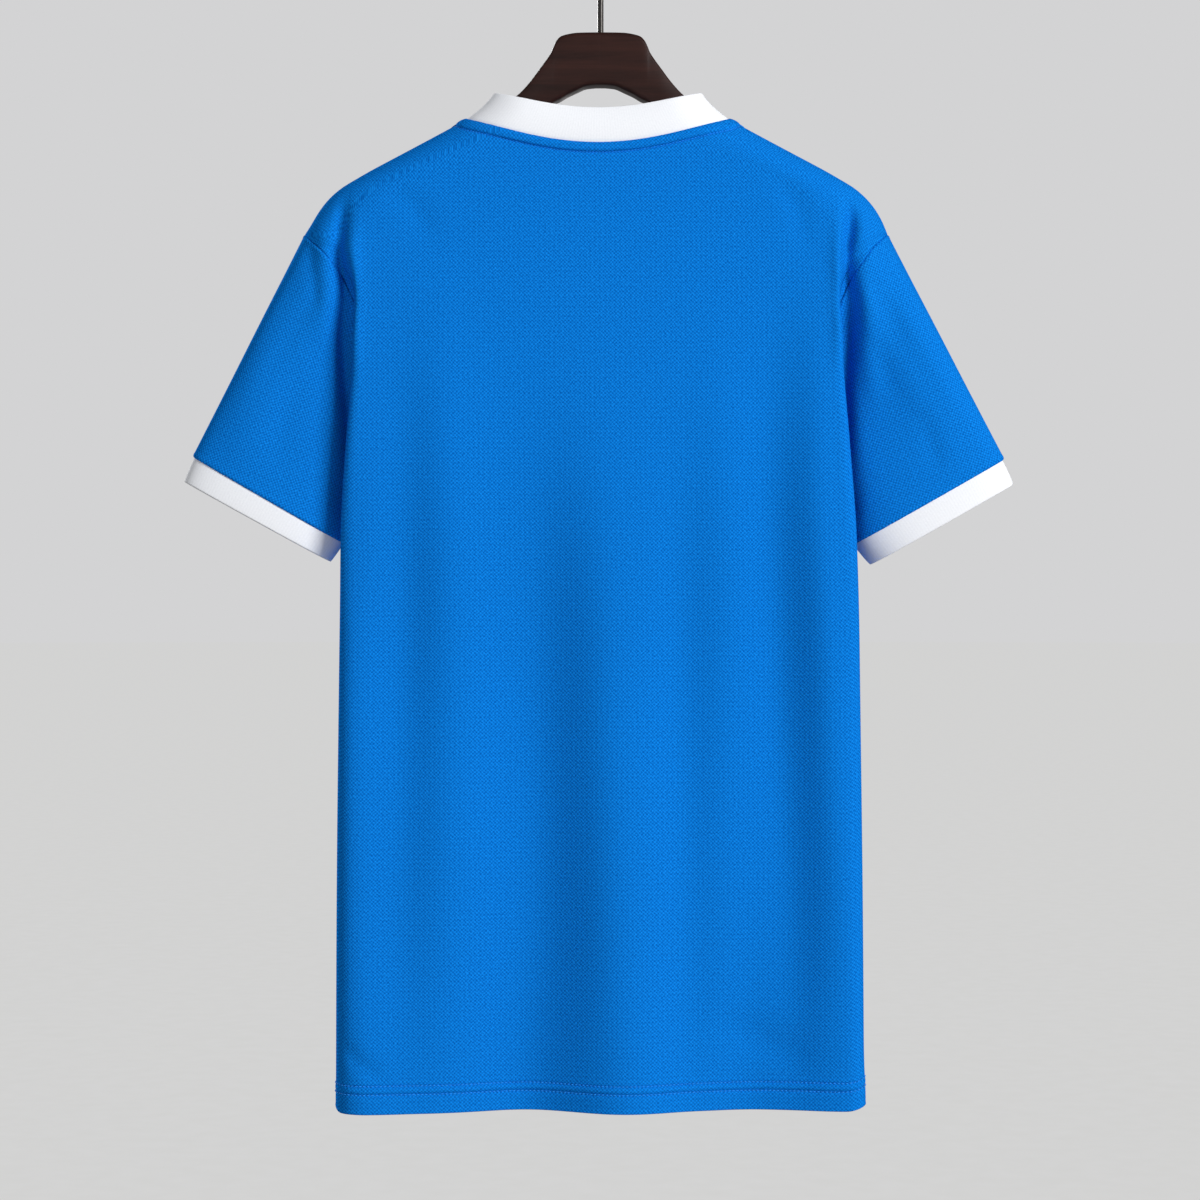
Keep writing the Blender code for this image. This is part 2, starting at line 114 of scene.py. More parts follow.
# drop, mid_y, bend_x, edge_x, edge_y, under_x, under_y, tuck_x, tuck_y, seam_x, seam_y
DRAPE = (
    (84, 31.1, 155.6, 177.6, 30.5, 197.6, 23.6, 209.6, 11.5, 209.6, 0),
    (88.5, 31.4, 156.5, 178, 31.2, 192, 27, 200.5, 21.5, 206.3, 15.5),
    (94, 31.7, 157.5, 177.5, 32.2, 188, 28.5, 196, 25, 202, 21.5),
    (103.2, 32.2, 158.5, 175.5, 33.6, 183.5, 28, 189.5, 26.4, 195.1, 25.2),
    (114.4, 32.8, 158, 174.5, 34.6, 179, 26, 182.5, 25.5, 186.7, 25.4),
    (124, 33.3, 157.5, 174.2, 35.2, 176.5, 23.5, 178.8, 22.4, 181.8, 22.6),
    (132, 33.8, 157, 174, 35.8, 175.5, 21.5, 176.8, 19.5, 178, 18.5),
    (152, 34.8, 158, 174.3, 36.8, 174.3, 23, 171.5, 17, 168, 13),
    (177, 35.9, 159, 174.8, 37.8, 174.8, 24, 161, 13, 152, 9),
    (207, 36.9, 160, 177, 38.5, 177, 24, 150, 11, 140, 5),
    (232, 37.5, 161, 179.2, 39, 179.2, 24, 134, 9, 134, 0),
    (305, 38, 162, 184, 39, 184, 21, 140, 9, 140, 0),
    (448, 38, 163, 186.3, 38, 186.3, 18, 147, 10, 147, 0),
    (562, 38, 163, 187.5, 37.5, 187.5, 15, 151, 10, 151, 0),
    (712, 38, 163, 188.2, 37, 188.2, 13, 155, 9, 155, 0),
)
# centre along the cloth, half width, depth at the hem, the drop where it begins, drift
BACK_FOLDS = (
    (158, 42, 13, 200, 0), (52, 34, -11, 130, 0), (-18, 36, 11, 180, 0), (-104, 38, -11, 110, -4),
)
FRONT_FOLDS = (
    (-146, 40, 11, 220, 0), (-64, 36, -10, 170, 6), (10, 34, 9, 260, 0), (88, 38, -11, 150, -6),
)
FOLD_FADE = (165.0, 33.0)  # how far along the cloth, and the stretch that it takes

# x, drop of the top, drop of the underside, half depth
HANGER_STATIONS = (
    (0, -61.2, -23.4, 10), (10, -61.1, -22.4, 10), (17, -60.9, -19.4, 10), (23.5, -59.9, -16.4, 10),
    (28.5, -58.4, -13.4, 10), (31.7, -55.4, -11.9, 10), (33.5, -52, -10.9, 10),
    (35.7, -46.7, -9.3, 9.9), (39.4, -41, -7, 9.8), (43.8, -35, -4.2, 9.7), (50.1, -26.5, 0, 9.4),
    (58.3, -17.4, 5.4, 9), (74, -5.5, 16.5, 8.4), (95, 7.5, 28.5, 8.8), (118, 18.5, 39, 10.6),
    (140, 28.8, 49, 12.8), (162.9, 39.3, 58, 14.5), (174, 46, 63.5, 14.5), (181, 51.5, 65.5, 13),
    (185.5, 57, 64.5, 8.5),
)
HANGER_STEPS = 3  # faces from one station to the next
TOUCH = 0.01  # points nearer than this to the hanger's middle lie on it
HANGER_ROUNDING = 3.2
ARM_TIP = ((1.4, 0.9), (1.6, 0.4))  # each step inwards and outwards that rounds the arm's end
# The fine line down the middle, where the two halves are glued: its half width, and how far in it
# lies, as shares of the head's size.
GLUE_LINE = 0.45
GLUE_LINE_SINK = (1, 0.996, 0.999)
HOOK_TIP_ROUNDING = 1.0
FACING = 0.9  # a face whose normal has more than this along X looks along the arm
WIRE_SIDES, HOLE_SIDES = 16, 32
# the hanger's and the hook's edges that are sharper than this, in degrees, are shown sharp
HANGER_SHARP, HOOK_SHARP = 35, 50

# ---------------- sewing
CLOTH_WALL = 0.7
BAND_WIDTH = 7.2  # the blue band that the neck's topstitching holds down
BAND_RISE = 1.4
BAND_SPREAD = 0.35  # the share by which it is wider at the shoulders
BAND_SPREAD_FROM = (0.55, 0.45)  # from the middle: where it begins to widen, and the stretch
HEM_FLAP = 22.0
HEM_STITCHES = (14.1, 20.3)  # heights of the two rows of stitches above the hem's edge
HEM_RISE = 0.35  # how far the doubled hem stands out
# how far the stitches are apart, and how long, thick and high they are
HEM_THREAD = {"pitch": 2.9, "length": 2.0, "half_width": 0.45, "rise": 0.42}
NECK_THREAD = {"pitch": 2.3, "length": 1.5, "half_width": 0.34, "rise": 0.2}
TUCK_IN = 2.6  # how far a band's raw edge goes in under the cloth that it is sewn to


# ---------------- shaping a surface
LEAST_LENGTH = 1e-9  # a way shorter than this is left short
A_HAIR = 1e-6  # keeps apart what would otherwise be the same


def unit(ways):
    return ways / np.maximum(np.linalg.norm(ways, axis=-1, keepdims=True), LEAST_LENGTH)


def distances(points, axis=0):
    """How far each point of a line, or of a grid, lies from the first one, row or column."""
    steps = np.linalg.norm(np.diff(points, axis=axis), axis=-1)
    start = np.zeros_like(np.take(steps, [0], axis=axis))
    return np.cumsum(np.concatenate([start, steps], axis=axis), axis=axis)


def place_on(line, far, at):
    """Where a line of points, each this far along it, is at one distance or more."""
    return np.stack([np.interp(at, far, part) for part in line.T], axis=-1)


def bump(across, half_width):
    return np.exp(-((across / half_width) ** 2))


def ease(t):
    t = np.clip(t, 0, 1)
    return t * t * (3 - 2 * t)


def grown(at, start, stretch):
    """0 up to a place, 1 past the stretch that follows it, and smooth between."""
    return ease((at - start) / stretch)


CREASE_ENDS = (0.02, 0.98)  # the shares of its path past which a crease gets no shallower
CREASE_TAPER = 0.7  # less keeps it deep for longer


def creases(u, v, table):
    """Depths from listed creases. Each has its half width, its depth (+ is a ridge), and the
    points that it runs through, in the same two sizes as u and v."""
    depth = np.zeros_like(u)
    for half_width, height, path in table:
        path = np.array(path, float)
        best = np.full(u.shape, np.inf)
        where = np.zeros_like(u)
        starts = distances(path)
        for a, b, start, step in zip(path, path[1:], starts, np.diff(starts)):
            way = (b - a) / step
            t = np.clip((u - a[0]) * way[0] + (v - a[1]) * way[1], 0, step)
            far = np.hypot(u - a[0] - t * way[0], v - a[1] - t * way[1])
            nearer = far < best
            best = np.where(nearer, far, best)
            where = np.where(nearer, (start + t) / starts[-1], where)
        taper = np.sin(np.pi * np.clip(where, *CREASE_ENDS)) ** CREASE_TAPER
        depth = depth + height * taper * bump(best, half_width)
    return depth


# ---------------- the cloth's outline
OUTLINE_STEPS = 24


def smooth(table, at):
    """The other columns of a table at a value of its first, by a cubic that never swings past a row."""
    table = np.asarray(table)
    knots, values = table[:, 0], table[:, 1:]
    steps = np.diff(knots)[:, None]
    slopes = np.diff(values, axis=0) / steps
    tangents = np.zeros_like(values)
    tangents[0], tangents[-1] = slopes[0], slopes[-1]
    before, after = slopes[:-1], slopes[1:]
    level = before * after <= 0
    mean = 2 * before * after / np.where(level, 1.0, before + after)
    tangents[1:-1] = np.where(level, 0.0, mean)
    i = int(np.clip(np.searchsorted(knots, at, side="right") - 1, 0, len(steps) - 1))
    t = (at - knots[i]) / steps[i, 0]
    return (
        (1 + 2 * t) * (1 - t) ** 2 * values[i]
        + t * (1 - t) ** 2 * steps[i] * tangents[i]
        + t**2 * (3 - 2 * t) * values[i + 1]
        - t**2 * (1 - t) * steps[i] * tangents[i + 1]
    )


def steering_points(drop):
    """The six points that steer half of the outline at this drop, from the centre line to the seam."""
    if drop < SHOULDER_DROP:
        ridge = smooth(RIDGE, max(drop, 0.0))[0]
        mid_y = NECK_MID_Y + MID_Y_GROWTH * drop
        below_neck = np.clip(drop / NECK_REACH, 0, 1)
        steer = (1 - below_neck) * np.array(NECK_STEER) + below_neck * np.array(SHOULDER_STEER)
        return np.array([(0.0, mid_y)] + [(ridge + x, share * mid_y) for x, share in steer])
    mid_y, bend_x, *others = smooth(DRAPE, drop)
    return np.array([(0.0, mid_y), (bend_x, mid_y), *zip(others[::2], others[1::2])])


def outline(drop):
    """Half of the outline at this drop as x, y points, and how far along the cloth each one lies."""
    steer = steering_points(drop)
    joins = [steer[0], *(steer[1:4] + steer[2:5]) / 2, steer[5]]
    t = np.linspace(0, 1, OUTLINE_STEPS + 1)[:, None]
    points = [steer[:1]]
    for start, middle, end in zip(joins, steer[1:], joins[1:]):
        piece = (1 - t) ** 2 * start + 2 * t * (1 - t) * middle + t**2 * end
        points.append(piece[1:])
    points = np.vstack(points)
    return points, distances(points)


DROPS = np.arange(0.0, BODY_LENGTH + 2)
OUTLINES = [outline(drop) for drop in DROPS]
KEY_LENGTHS = np.array([lengths[::OUTLINE_STEPS] for _, lengths in OUTLINES])


def outline_point(along, drop):
    """x and y on the outline's half, between the two kept outlines nearest to the drop."""
    i = int(np.clip(drop, 0, len(DROPS) - 2))
    part = np.clip(drop - i, 0, 1)
    low, high = (place_on(*kept, along) for kept in OUTLINES[i : i + 2])
    return (1 - part) * low + part * high


def fold_depth(along, drop, folds):
    """How far the panel's broad folds move the cloth out."""
    depth = 0.0
    for centre, half_width, hem_depth, start, drift in folds:
        t = np.clip((drop - start) / (BODY_LENGTH - start), 0, 1)
        depth = depth + hem_depth * t * bump(along - centre - drift * t, half_width)
    return depth * (1 - grown(np.abs(along), *FOLD_FADE))


# ---------------- a panel's columns
SEAM_COLUMNS = np.array((6.5, 5.0, 3.8, 2.9, 2.2, 1.6, 1.1, 0.75, 0.45, 0.2, 0.0))  # from the seam's edge
PLACE_COLUMNS = np.concatenate(
    [np.linspace(0, 1, 45), np.linspace(1, 2, 10)[1:], np.linspace(2, 3, 10)[1:]]
)
BETWEEN = (0.35, 0.7)  # two more columns, as shares of the way between those two sets
LEAST_Y = -0.08  # a fold takes the cloth no further in than this
# A drape starts where the panel is this deep, and is whole this much deeper.
DRAPE_FROM_Y = (19.0, 8.0)
CREASES_PAST_Y = 1.0  # nearer to the middle plane, where the panels meet, there are none
DEEPEST_PANEL_CREASE = 0.35  # the share of the panel's depth that a crease leaves


def column_lengths():
    """How far along the cloth each of the half panel's columns lies, at each kept drop."""
    rows = []
    for keys in KEY_LENGTHS:
        places = np.interp(PLACE_COLUMNS, range(5), keys)
        last = keys[4] - SEAM_COLUMNS[0]
        between = [(1 - t) * keys[3] + t * last for t in BETWEEN]
        rows.append([*places, *between, *(keys[4] - SEAM_COLUMNS)])
    return np.array(rows)


COLUMN_LENGTHS = column_lengths()
COLUMN_SHARES = COLUMN_LENGTHS[: int(SHOULDER_DROP) + 1] / KEY_LENGTHS[: int(SHOULDER_DROP) + 1, 4:]
HALF_COLUMNS = COLUMN_LENGTHS.shape[1]


def lean(drop):
    """How far the hung garment has moved to its left at a drop."""
    return LEAN[0] + (LEAN[1] - LEAN[0]) * grown(drop, *LEAN_FROM)


def shoulder_sag(x, drop):
    """How far the shoulders hang below the frame's, hanger and all."""
    across, down = (bump(at - place, reach) for at, place, reach in zip((x, drop), SAG_PLACE, SAG_REACH))
    return SHOULDER_SAG * across * down


def panel_column(column, edge_drops, cut):
    """Points of one column for the rows that start at these drops of the panel's edge.

    Also how far each lies along the cloth."""
    sign, j = (1 if column >= 0 else -1), abs(column)
    neck, side = cut["neck"], cut["side"]
    half = np.interp(edge_drops, DROPS, COLUMN_LENGTHS[:, j])
    share = np.interp(edge_drops, DROPS[: len(COLUMN_SHARES)], COLUMN_SHARES[:, j])
    below_neck = np.clip(edge_drops / SHOULDER_DROP, 0, 1)
    roundness = neck["round"] + (ARMHOLE_ROUND - neck["round"]) * below_neck
    top = neck["drop"] * np.clip(1 - share**2, 0, 1) ** roundness
    drops = BODY_LENGTH - (BODY_LENGTH - top) * (BODY_LENGTH - edge_drops) / BODY_LENGTH
    along = sign * half
    x, y = np.array([outline_point(h, d) for h, d in zip(half, drops)]).T
    y = np.maximum(y + fold_depth(along, drops, cut["folds"]), LEAST_Y)
    from_seam = np.interp(edge_drops, DROPS, KEY_LENGTHS[:, 4]) - half
    lap = bump(from_seam, SIDE_SEAM_LAP_WIDTH) * grown(drops, UNDERARM_DROP, SIDE_SEAM_LAP_START)
    y = y - SIDE_SEAM_LAP * lap
    drawn_in = SEAM_DRAWN_IN[sign] * grown(drops, *DRAWN_IN_FROM) * (1 - grown(drops, *DRAWN_IN_TO))
    out = SHOULDER_END_OUT[sign] * bump(drops - SHOULDER_END[0], SHOULDER_END[1])
    x = x + (out - drawn_in) * bump(from_seam, SEAM_PULL)
    depth = creases(sign * x, drops, cut["drapes"]) * grown(y, *DRAPE_FROM_Y)
    depth += creases(x, drops, cut["armhole"][sign])
    depth += creases(x, drops, cut["sleeve"][sign]) * bump(from_seam, SEAM_BLEND)
    y = np.where(y > CREASES_PAST_Y, np.maximum(y + depth, DEEPEST_PANEL_CREASE * y), y)
    hung = NECK_Z - drops - shoulder_sag(x, drops)
    return np.column_stack([sign * x + lean(drops), side * y, hung]), along


# ---------------- making meshes
def select_only(*things):
    """Selects these objects alone, and makes the last of them the active one."""
    if bpy.context.object and bpy.context.object.mode != "OBJECT":
        bpy.ops.object.mode_set(mode="OBJECT")
    bpy.ops.object.select_all(action="DESELECT")
    for thing in things:
        thing.select_set(True)
        bpy.context.view_layer.objects.active = thing


def new_piece(name, points, faces):
    """An object of smooth faces between points in millimetres."""
    mesh = bpy.data.meshes.new(name)
    mesh.from_pydata(points * MM, [], faces)
    mesh.polygons.foreach_set("use_smooth", np.ones(len(mesh.polygons), bool))
    mesh.update()
    thing = bpy.data.objects.new(name, mesh)
    bpy.context.scene.collection.objects.link(thing)
    return thing


def grid_object(name, points, uv, closed_rows=False, closed_columns=False, flip=False):
    """A mesh of four-sided faces between rows of points, with its flat size in metres as UVs.

    closed_rows joins the end of each row to its start, closed_columns the last row to the first."""
    rows, columns = points.shape[:2]
    i = np.arange(rows if closed_columns else rows - 1)[:, None]
    j = np.arange(columns if closed_rows else columns - 1)[None, :]
    corners = [(i, j), (i, j + 1), (i + 1, j + 1), (i + 1, j)]
    if flip:
        corners.reverse()
    faces = np.stack([(a % rows) * columns + b % columns for a, b in corners], axis=-1)
    uv_at = np.stack([a * uv.shape[1] + b for a, b in corners], axis=-1)
    thing = new_piece(name, points.reshape(-1, 3), faces.reshape(-1, 4).tolist())
    layer = thing.data.uv_layers.new(name="flat size")
    layer.data.foreach_set("uv", (uv.reshape(-1, 2)[uv_at.ravel()] * MM).ravel())
    return thing


def give_wall(thing):
    """The cloth's thickness, laid inside its outer surface."""
    solidify = thing.modifiers.new("wall", "SOLIDIFY")
    solidify.thickness = CLOTH_WALL * MM
    solidify.offset = -1
    solidify.use_quality_normals = True
    select_only(thing)
    bpy.ops.object.modifier_apply(modifier="wall")


# ---------------- panels
NECK_ROWS = np.array((0.0, 0.3, 0.7, 1.3, 2.0, 2.8, 3.6, 4.4, 5.2, 5.9, 6.4, 6.8, 7.2, 7.6, 8.0, 8.6, 9.4))
NECK_REACH_DROPS = np.arange(0.0, 32.0, 0.5)  # where the rows along the neck are looked for
NECKLINE_STEP = 0.125  # the neckline is measured to at this part of each step between columns
BELOW_BAND = np.arange(1, 9) / 9  # rows between the neck's and the shoulder's
# Across the band, depth counts for little: it is as wide as it looks from behind and in front.
BAND_MEASURE = (1.0, 0.35, 1.0)
SHOULDER_ROWS = np.array([*np.arange(33.0, SHOULDER_DROP, 2.8), SHOULDER_DROP])
ARMHOLE_ROWS = np.array([*np.arange(84.8, 96.0, 1.4), *np.arange(97.0, UNDERARM_DROP, 2.7), UNDERARM_DROP])
SIDE_ROWS = np.array([*np.arange(236.5, 682.0, 4.3), 684.0, 686.0])
DOWN_STEP = 0.4  # how far below each point the way down is looked for
# A step between two points keeps at least this share of its length in the flat cut.
LEAST_FLAT_STEP = 0.25
# height above the hem's edge, how far out from the cloth's own surface
HEM_ROWS = (
    (24.5, 0), (22.8, 0.05), (21.8, 0.1), (21.1, 0), (20.7, -0.3), (20.3, -0.55), (19.9, -0.25),
    (19.4, 0.3), (18.7, 0.75), (17.8, 1), (16.9, 1.05), (16, 0.85), (15.3, 0.5), (14.7, 0),
    (14.1, -0.4), (13.6, -0.15), (13, 0.25), (12.2, 0.42), (11, 0.5), (9, 0.5), (7, 0.45), (5, 0.4),
    (3.2, 0.35), (1.9, 0.35),
)
HEM_FOLD_RADIUS = 0.78
HEM_FOLD_ROWS = 8
HEM_FLAP_ROWS = (3.0, 5.5, 9.0, 13.0, 17.0, 21.0, HEM_FLAP)
# The hem's two corners, seen from the back: the left one is round, the right one is drawn up sharp.
CORNER_RADIUS = 5.0
CORNER_REACH = 13.0  # the height over which the round corner dies away
DRAWN_UP = 3.9
DRAWN_UP_WIDTH = 15.0
DRAWN_UP_FADE = (26.0, 26.0)  # the height where it begins to fade, and the stretch that it takes
CORNER_FLARE = ((0.8, 180.0), (1.0, 26.0))  # how far out the right side flares, and how high up
CORNER_FLARE_WIDTH = 30.0
FLARE_UNDERNEATH = 0.6  # the share of it in what is folded under
# The hem's ridge is pressed flat where the sides fold: by what share, and from how far inside.
PRESSED_FLAT = 0.6
PRESSED_FROM = (-12.0, 10.0)
FAR_FROM_NECK = 99.0  # past the reach of the neck's sewing
NECK_GROOVE = (1.2, 0.6)  # the depth and half width of the topstitching's groove
SEAM_GROOVE = (1.15, 0.6)
SEAM_ROLL = (0.25, 2.0, 1.2)  # the height, the distance from the seam and the half width
SEAM_BLEND = 9.0  # how far a crease of the sleeve or the panel runs on past the seam between them


def hem_profile():
    """The hem as heights above its edge and distances out: down the outside, round, and up the inside."""
    rows = list(HEM_ROWS)
    for turn in np.linspace(0, math.pi, HEM_FOLD_ROWS):
        middle = HEM_RISE - HEM_FOLD_RADIUS
        out = middle + HEM_FOLD_RADIUS * math.cos(turn)
        rows.append((HEM_FOLD_RADIUS * (1 - math.sin(turn)), out))
    return rows + [(height, HEM_RISE - 2 * HEM_FOLD_RADIUS) for height in HEM_FLAP_ROWS]


def panel_grid(cut):
    """The panel's own surface, from its neckline down, its normals, and its columns' flat places."""
    columns = np.arange(-(HALF_COLUMNS - 1), HALF_COLUMNS)
    hem = np.array(hem_profile())
    near = [panel_column(column, NECK_REACH_DROPS, cut)[0] * BAND_MEASURE for column in columns]
    neck = np.array([points[0] for points in near])
    steps = np.arange(0, len(neck) - 1 + NECKLINE_STEP / 2, NECKLINE_STEP)
    neck = place_on(neck, np.arange(len(neck)), steps)
    grid, below, along = [], [], []
    for column, points in zip(columns, near):
        # how far each point is from the whole neckline
        far = np.linalg.norm(points[:, None] - neck, axis=-1).min(axis=1)
        far = np.maximum.accumulate(far + A_HAIR * np.arange(len(far)))
        # the band is wider where it turns over the shoulder
        spread = 1 + BAND_SPREAD * grown(abs(column) / (HALF_COLUMNS - 1), *BAND_SPREAD_FROM)
        near_neck = np.interp(NECK_ROWS * spread, far, NECK_REACH_DROPS)
        below_band = near_neck[-1] + (SHOULDER_ROWS[0] - near_neck[-1]) * BELOW_BAND
        lower = (SHOULDER_ROWS, ARMHOLE_ROWS, SIDE_ROWS, BODY_LENGTH - hem[:, 0])
        edge_drops = np.concatenate([near_neck, below_band, *lower])
        here = panel_column(column, edge_drops, cut)
        grid.append(here[0])
        along.append(here[1])
        below.append(panel_column(column, edge_drops + DOWN_STEP, cut)[0])
    grid, below = (np.array(rows).transpose(1, 0, 2) for rows in (grid, below))
    down = unit(below - grid)
    across = np.gradient(grid, axis=1)
    normals = unit(np.cross(across, down)) * cut["side"]
    return grid, normals, np.array(along).T


def seam_dip(from_seam):
    """The groove of a seam between two pieces of cloth, with a low roll beside it."""
    height, place, half_width = SEAM_ROLL
    roll = height * bump(from_seam - place, half_width)
    return roll - SEAM_GROOVE[0] * bump(from_seam, SEAM_GROOVE[1])


def panel_offsets(grid):
    """How far the sewing moves each point out from the panel's own surface."""
    near = len(NECK_ROWS)
    from_neck = np.full(grid.shape[:2], FAR_FROM_NECK)
    from_neck[:near] = NECK_ROWS[:, None]
    band = np.sqrt(np.clip(from_neck * (BAND_WIDTH - from_neck), 0, None)) / (BAND_WIDTH / 2)
    out = BAND_RISE * band - NECK_GROOVE[0] * bump(from_neck - BAND_WIDTH, NECK_GROOVE[1])
    left, right = (distances(rows, 1) for rows in (grid, grid[:, ::-1]))
    return out + seam_dip(np.minimum(left, right[:, ::-1]))


def turn_corners(grid, along):
    """Draws the hem's edge up as it nears each side, and past it, where the cloth is folded under."""
    height = grid[..., 2] - (NECK_Z - BODY_LENGTH)
    middle = HALF_COLUMNS - 1
    for half, sign in ((slice(0, middle + 1), -1), (slice(middle, None), 1)):
        x = np.abs(grid[:, half, 0])
        reach = x.max(axis=1, keepdims=True)
        edge = np.take_along_axis(np.abs(along[:, half]), x.argmax(axis=1)[:, None], axis=1)
        past = np.abs(along[:, half]) > edge
        low = np.maximum(height[:, half], 0)
        if sign > 0:
            inset = np.where(past, CORNER_RADIUS, np.clip(x - (reach - CORNER_RADIUS), 0, CORNER_RADIUS))
            rise = CORNER_RADIUS - np.sqrt(CORNER_RADIUS**2 - inset**2)
            rise = rise * np.clip(1 - low / CORNER_REACH, 0, 1) ** 2
        else:
            inset = np.where(past, 1.0, np.clip(1 - (reach - x) / DRAWN_UP_WIDTH, 0, 1))
            rise = DRAWN_UP * inset**2 * (1 - grown(low, *DRAWN_UP_FADE))
            spread = np.clip(1 - (reach - x) / CORNER_FLARE_WIDTH, 0, 1)
            spread = spread * np.where(past, FLARE_UNDERNEATH, 1.0)
            grid[:, half, 0] -= spread * sum(out * bump(low, high) for out, high in CORNER_FLARE)
        grid[:, half, 2] += rise


def flat_heights(grid, along):
    """How far each point lay above the hem when the cloth was flat."""
    steps = np.linalg.norm(np.diff(grid, axis=0), axis=-1)
    sideways = np.diff(along, axis=0)
    upright = np.sqrt(np.maximum(steps**2 - sideways**2, (LEAST_FLAT_STEP * steps) ** 2))
    return np.concatenate([np.cumsum(upright[::-1], axis=0)[::-1], np.zeros((1, grid.shape[1]))])


def make_panel(name, cut):
    """The panel, its surface before it was sewn, that surface's normals, and the sewn surface."""
    plain, normals, along = panel_grid(cut)
    out = panel_offsets(plain)
    hem = np.array(hem_profile())
    edge = np.abs(plain[-len(hem) :, :, 0] - LEAN[1])
    pressed = 1 - PRESSED_FLAT * grown(edge - edge.max(), *PRESSED_FROM)
    outside = (np.arange(len(hem)) < len(HEM_ROWS))[:, None]
    out[-len(hem) :] += hem[:, 1:] * np.where(outside, pressed, 1.0)
    turn_corners(plain, along)
    grid = plain + normals * out[..., None]
    uv = np.stack([along, flat_heights(grid, along)], axis=-1)
    thing = grid_object(name, grid, uv, flip=cut["side"] < 0)
    give_wall(thing)
    return thing, plain, normals, grid


# Each crease has its half width, its height (+ is a ridge) and the x and drop that it runs through.
# A crease dies away at both ends of its path, so a path that runs past the hem still shows there.
BACK_DRAPES = (
    # ridges, from left to right as seen from behind
    (12, 3.6, ((176, 330), (179, 480), (181, 600), (181, 860))),
    (24, 4.4, ((118, 130), (110, 240), (106, 330), (102, 430), (104, 560), (106, 760))),
    (22, 2.8, ((4, 220), (0, 330), (-3, 430), (-6, 560), (-8, 690))),
    (20, 3, ((-84, 150), (-90, 300), (-92, 430), (-92, 560), (-90, 700))),
    (15, 3.8, ((-158, 130), (-156, 277), (-163, 420), (-168, 540), (-170, 660))),
    # and the troughs between them
    (19, -4.6, ((136, 160), (137, 277), (141, 420), (143, 560), (143, 760))),
    (23, -2.5, ((40, 240), (40, 420), (38, 540), (36, 640))),
    (18, -3.4, ((-58, 240), (-58, 420), (-60, 560), (-62, 760))),
    (18, -4.6, ((-126, 140), (-124, 277), (-130, 420), (-137, 560), (-146, 760))),
    # short ones, at the shoulders and low down
    (9, -1.4, ((150, 52), (132, 66), (118, 92))),
    (8, -1.3, ((-128, 44), (-142, 66), (-150, 100))),
    (5, -2.2, ((183, 662), (170, 676), (154, 687))),
    (13, -1.8, ((-78, 648), (-112, 660), (-150, 682))),
)
FRONT_DRAPES = (
    (12, 3.4, ((176, 340), (179, 480), (181, 600), (181, 860))),
    (23, 4.2, ((86, 150), (84, 300), (90, 430), (86, 560), (88, 760))),
    (22, 3.2, ((-12, 200), (-8, 330), (-14, 460), (-8, 600), (-10, 760))),
    (22, 4.2, ((-112, 130), (-106, 260), (-104, 400), (-108, 560), (-106, 760))),
    (14, 3.4, ((158, 140), (160, 290), (164, 430), (168, 580), (170, 760))),
    (18, -4.4, ((122, 160), (124, 290), (128, 430), (132, 560), (134, 760))),
    (20, -3.2, ((38, 220), (34, 380), (40, 520), (36, 760))),
    (19, -3.2, ((-60, 190), (-58, 340), (-62, 480), (-56, 760))),
    (17, -4.4, ((-142, 170), (-140, 300), (-146, 440), (-144, 760))),
    (6, -2, ((-183, 656), (-168, 670), (-150, 682))),
    (15, 1.2, ((172, 600), (150, 632), (124, 672))),
)
# Beside each armhole, x and drop with x positive on both sides. These and the sleeves' creases run
# on across the seam.
BACK_ARMHOLES = {
    1: (
        (4.6, -8.5, ((181.5, 62), (184, 84), (185, 98), (184.6, 108), (183.2, 122), (183, 138))),
        (5, 2.6, ((173, 72), (174.2, 104), (174.4, 140), (174, 186))),
        (5, 1.2, ((199, 70), (198, 88), (194, 102))),
    ),
    -1: (
        (4.4, -8.2, ((180.5, 62), (180, 80), (178.2, 94), (177, 106), (179, 120), (181, 132))),
        (4.6, 2.6, ((171, 68), (171.6, 100), (172.6, 132), (172, 184))),
        (6, 2.2, ((190, 70), (190, 86), (188, 100))),
    ),
}
FRONT_ARMHOLES = {
    1: (
        (5.4, -8.4, ((178, 66), (181, 84), (182, 98), (182.5, 112), (182, 134))),
        (6, 1.8, ((170, 76), (170, 128))),
    ),
    -1: (
        (5.8, -8.8, ((182, 64), (184.5, 86), (185, 104), (184, 120), (183, 140))),
        (6, 1.6, ((171, 72), (172, 126))),
    ),
}
BACK_SLEEVES = {
    1: (
        # the deep crease beside the body
        (5, -8, ((182, 112), (182.5, 128), (183.5, 142), (183.5, 160), (182, 190), (180, 220), (179, 252))),
        (10, -8.5, ((174, 178), (173, 220), (178, 270), (185, 330))),
        (8, 3, ((196, 84), (195, 104), (195, 134), (197, 170))),
        (4.6, -1.9, ((208, 84), (205.4, 102), (202, 122), (200, 146))),
        (14, 1.6, ((226, 110), (240, 160), (252, 215), (262, 245))),
        (10, -1.2, ((216, 170), (224, 215), (232, 262))),
    ),
    -1: (
        (4.8, -8, ((181, 110), (182, 124), (182.4, 138), (181.4, 156), (180, 176), (178, 200), (179, 250))),
        (9.5, -7, ((172, 184), (173, 225), (177, 272), (183, 330))),
        (7.5, 4.2, ((190, 84), (190.5, 110), (192, 140), (194, 176), (198, 210))),
        (9, -1.4, ((210, 100), (212, 150), (217, 190))),
        (14, 1.4, ((232, 120), (244, 170), (258, 228))),
        (6, -1, ((232, 214), (240, 240), (243, 262))),
    ),
}
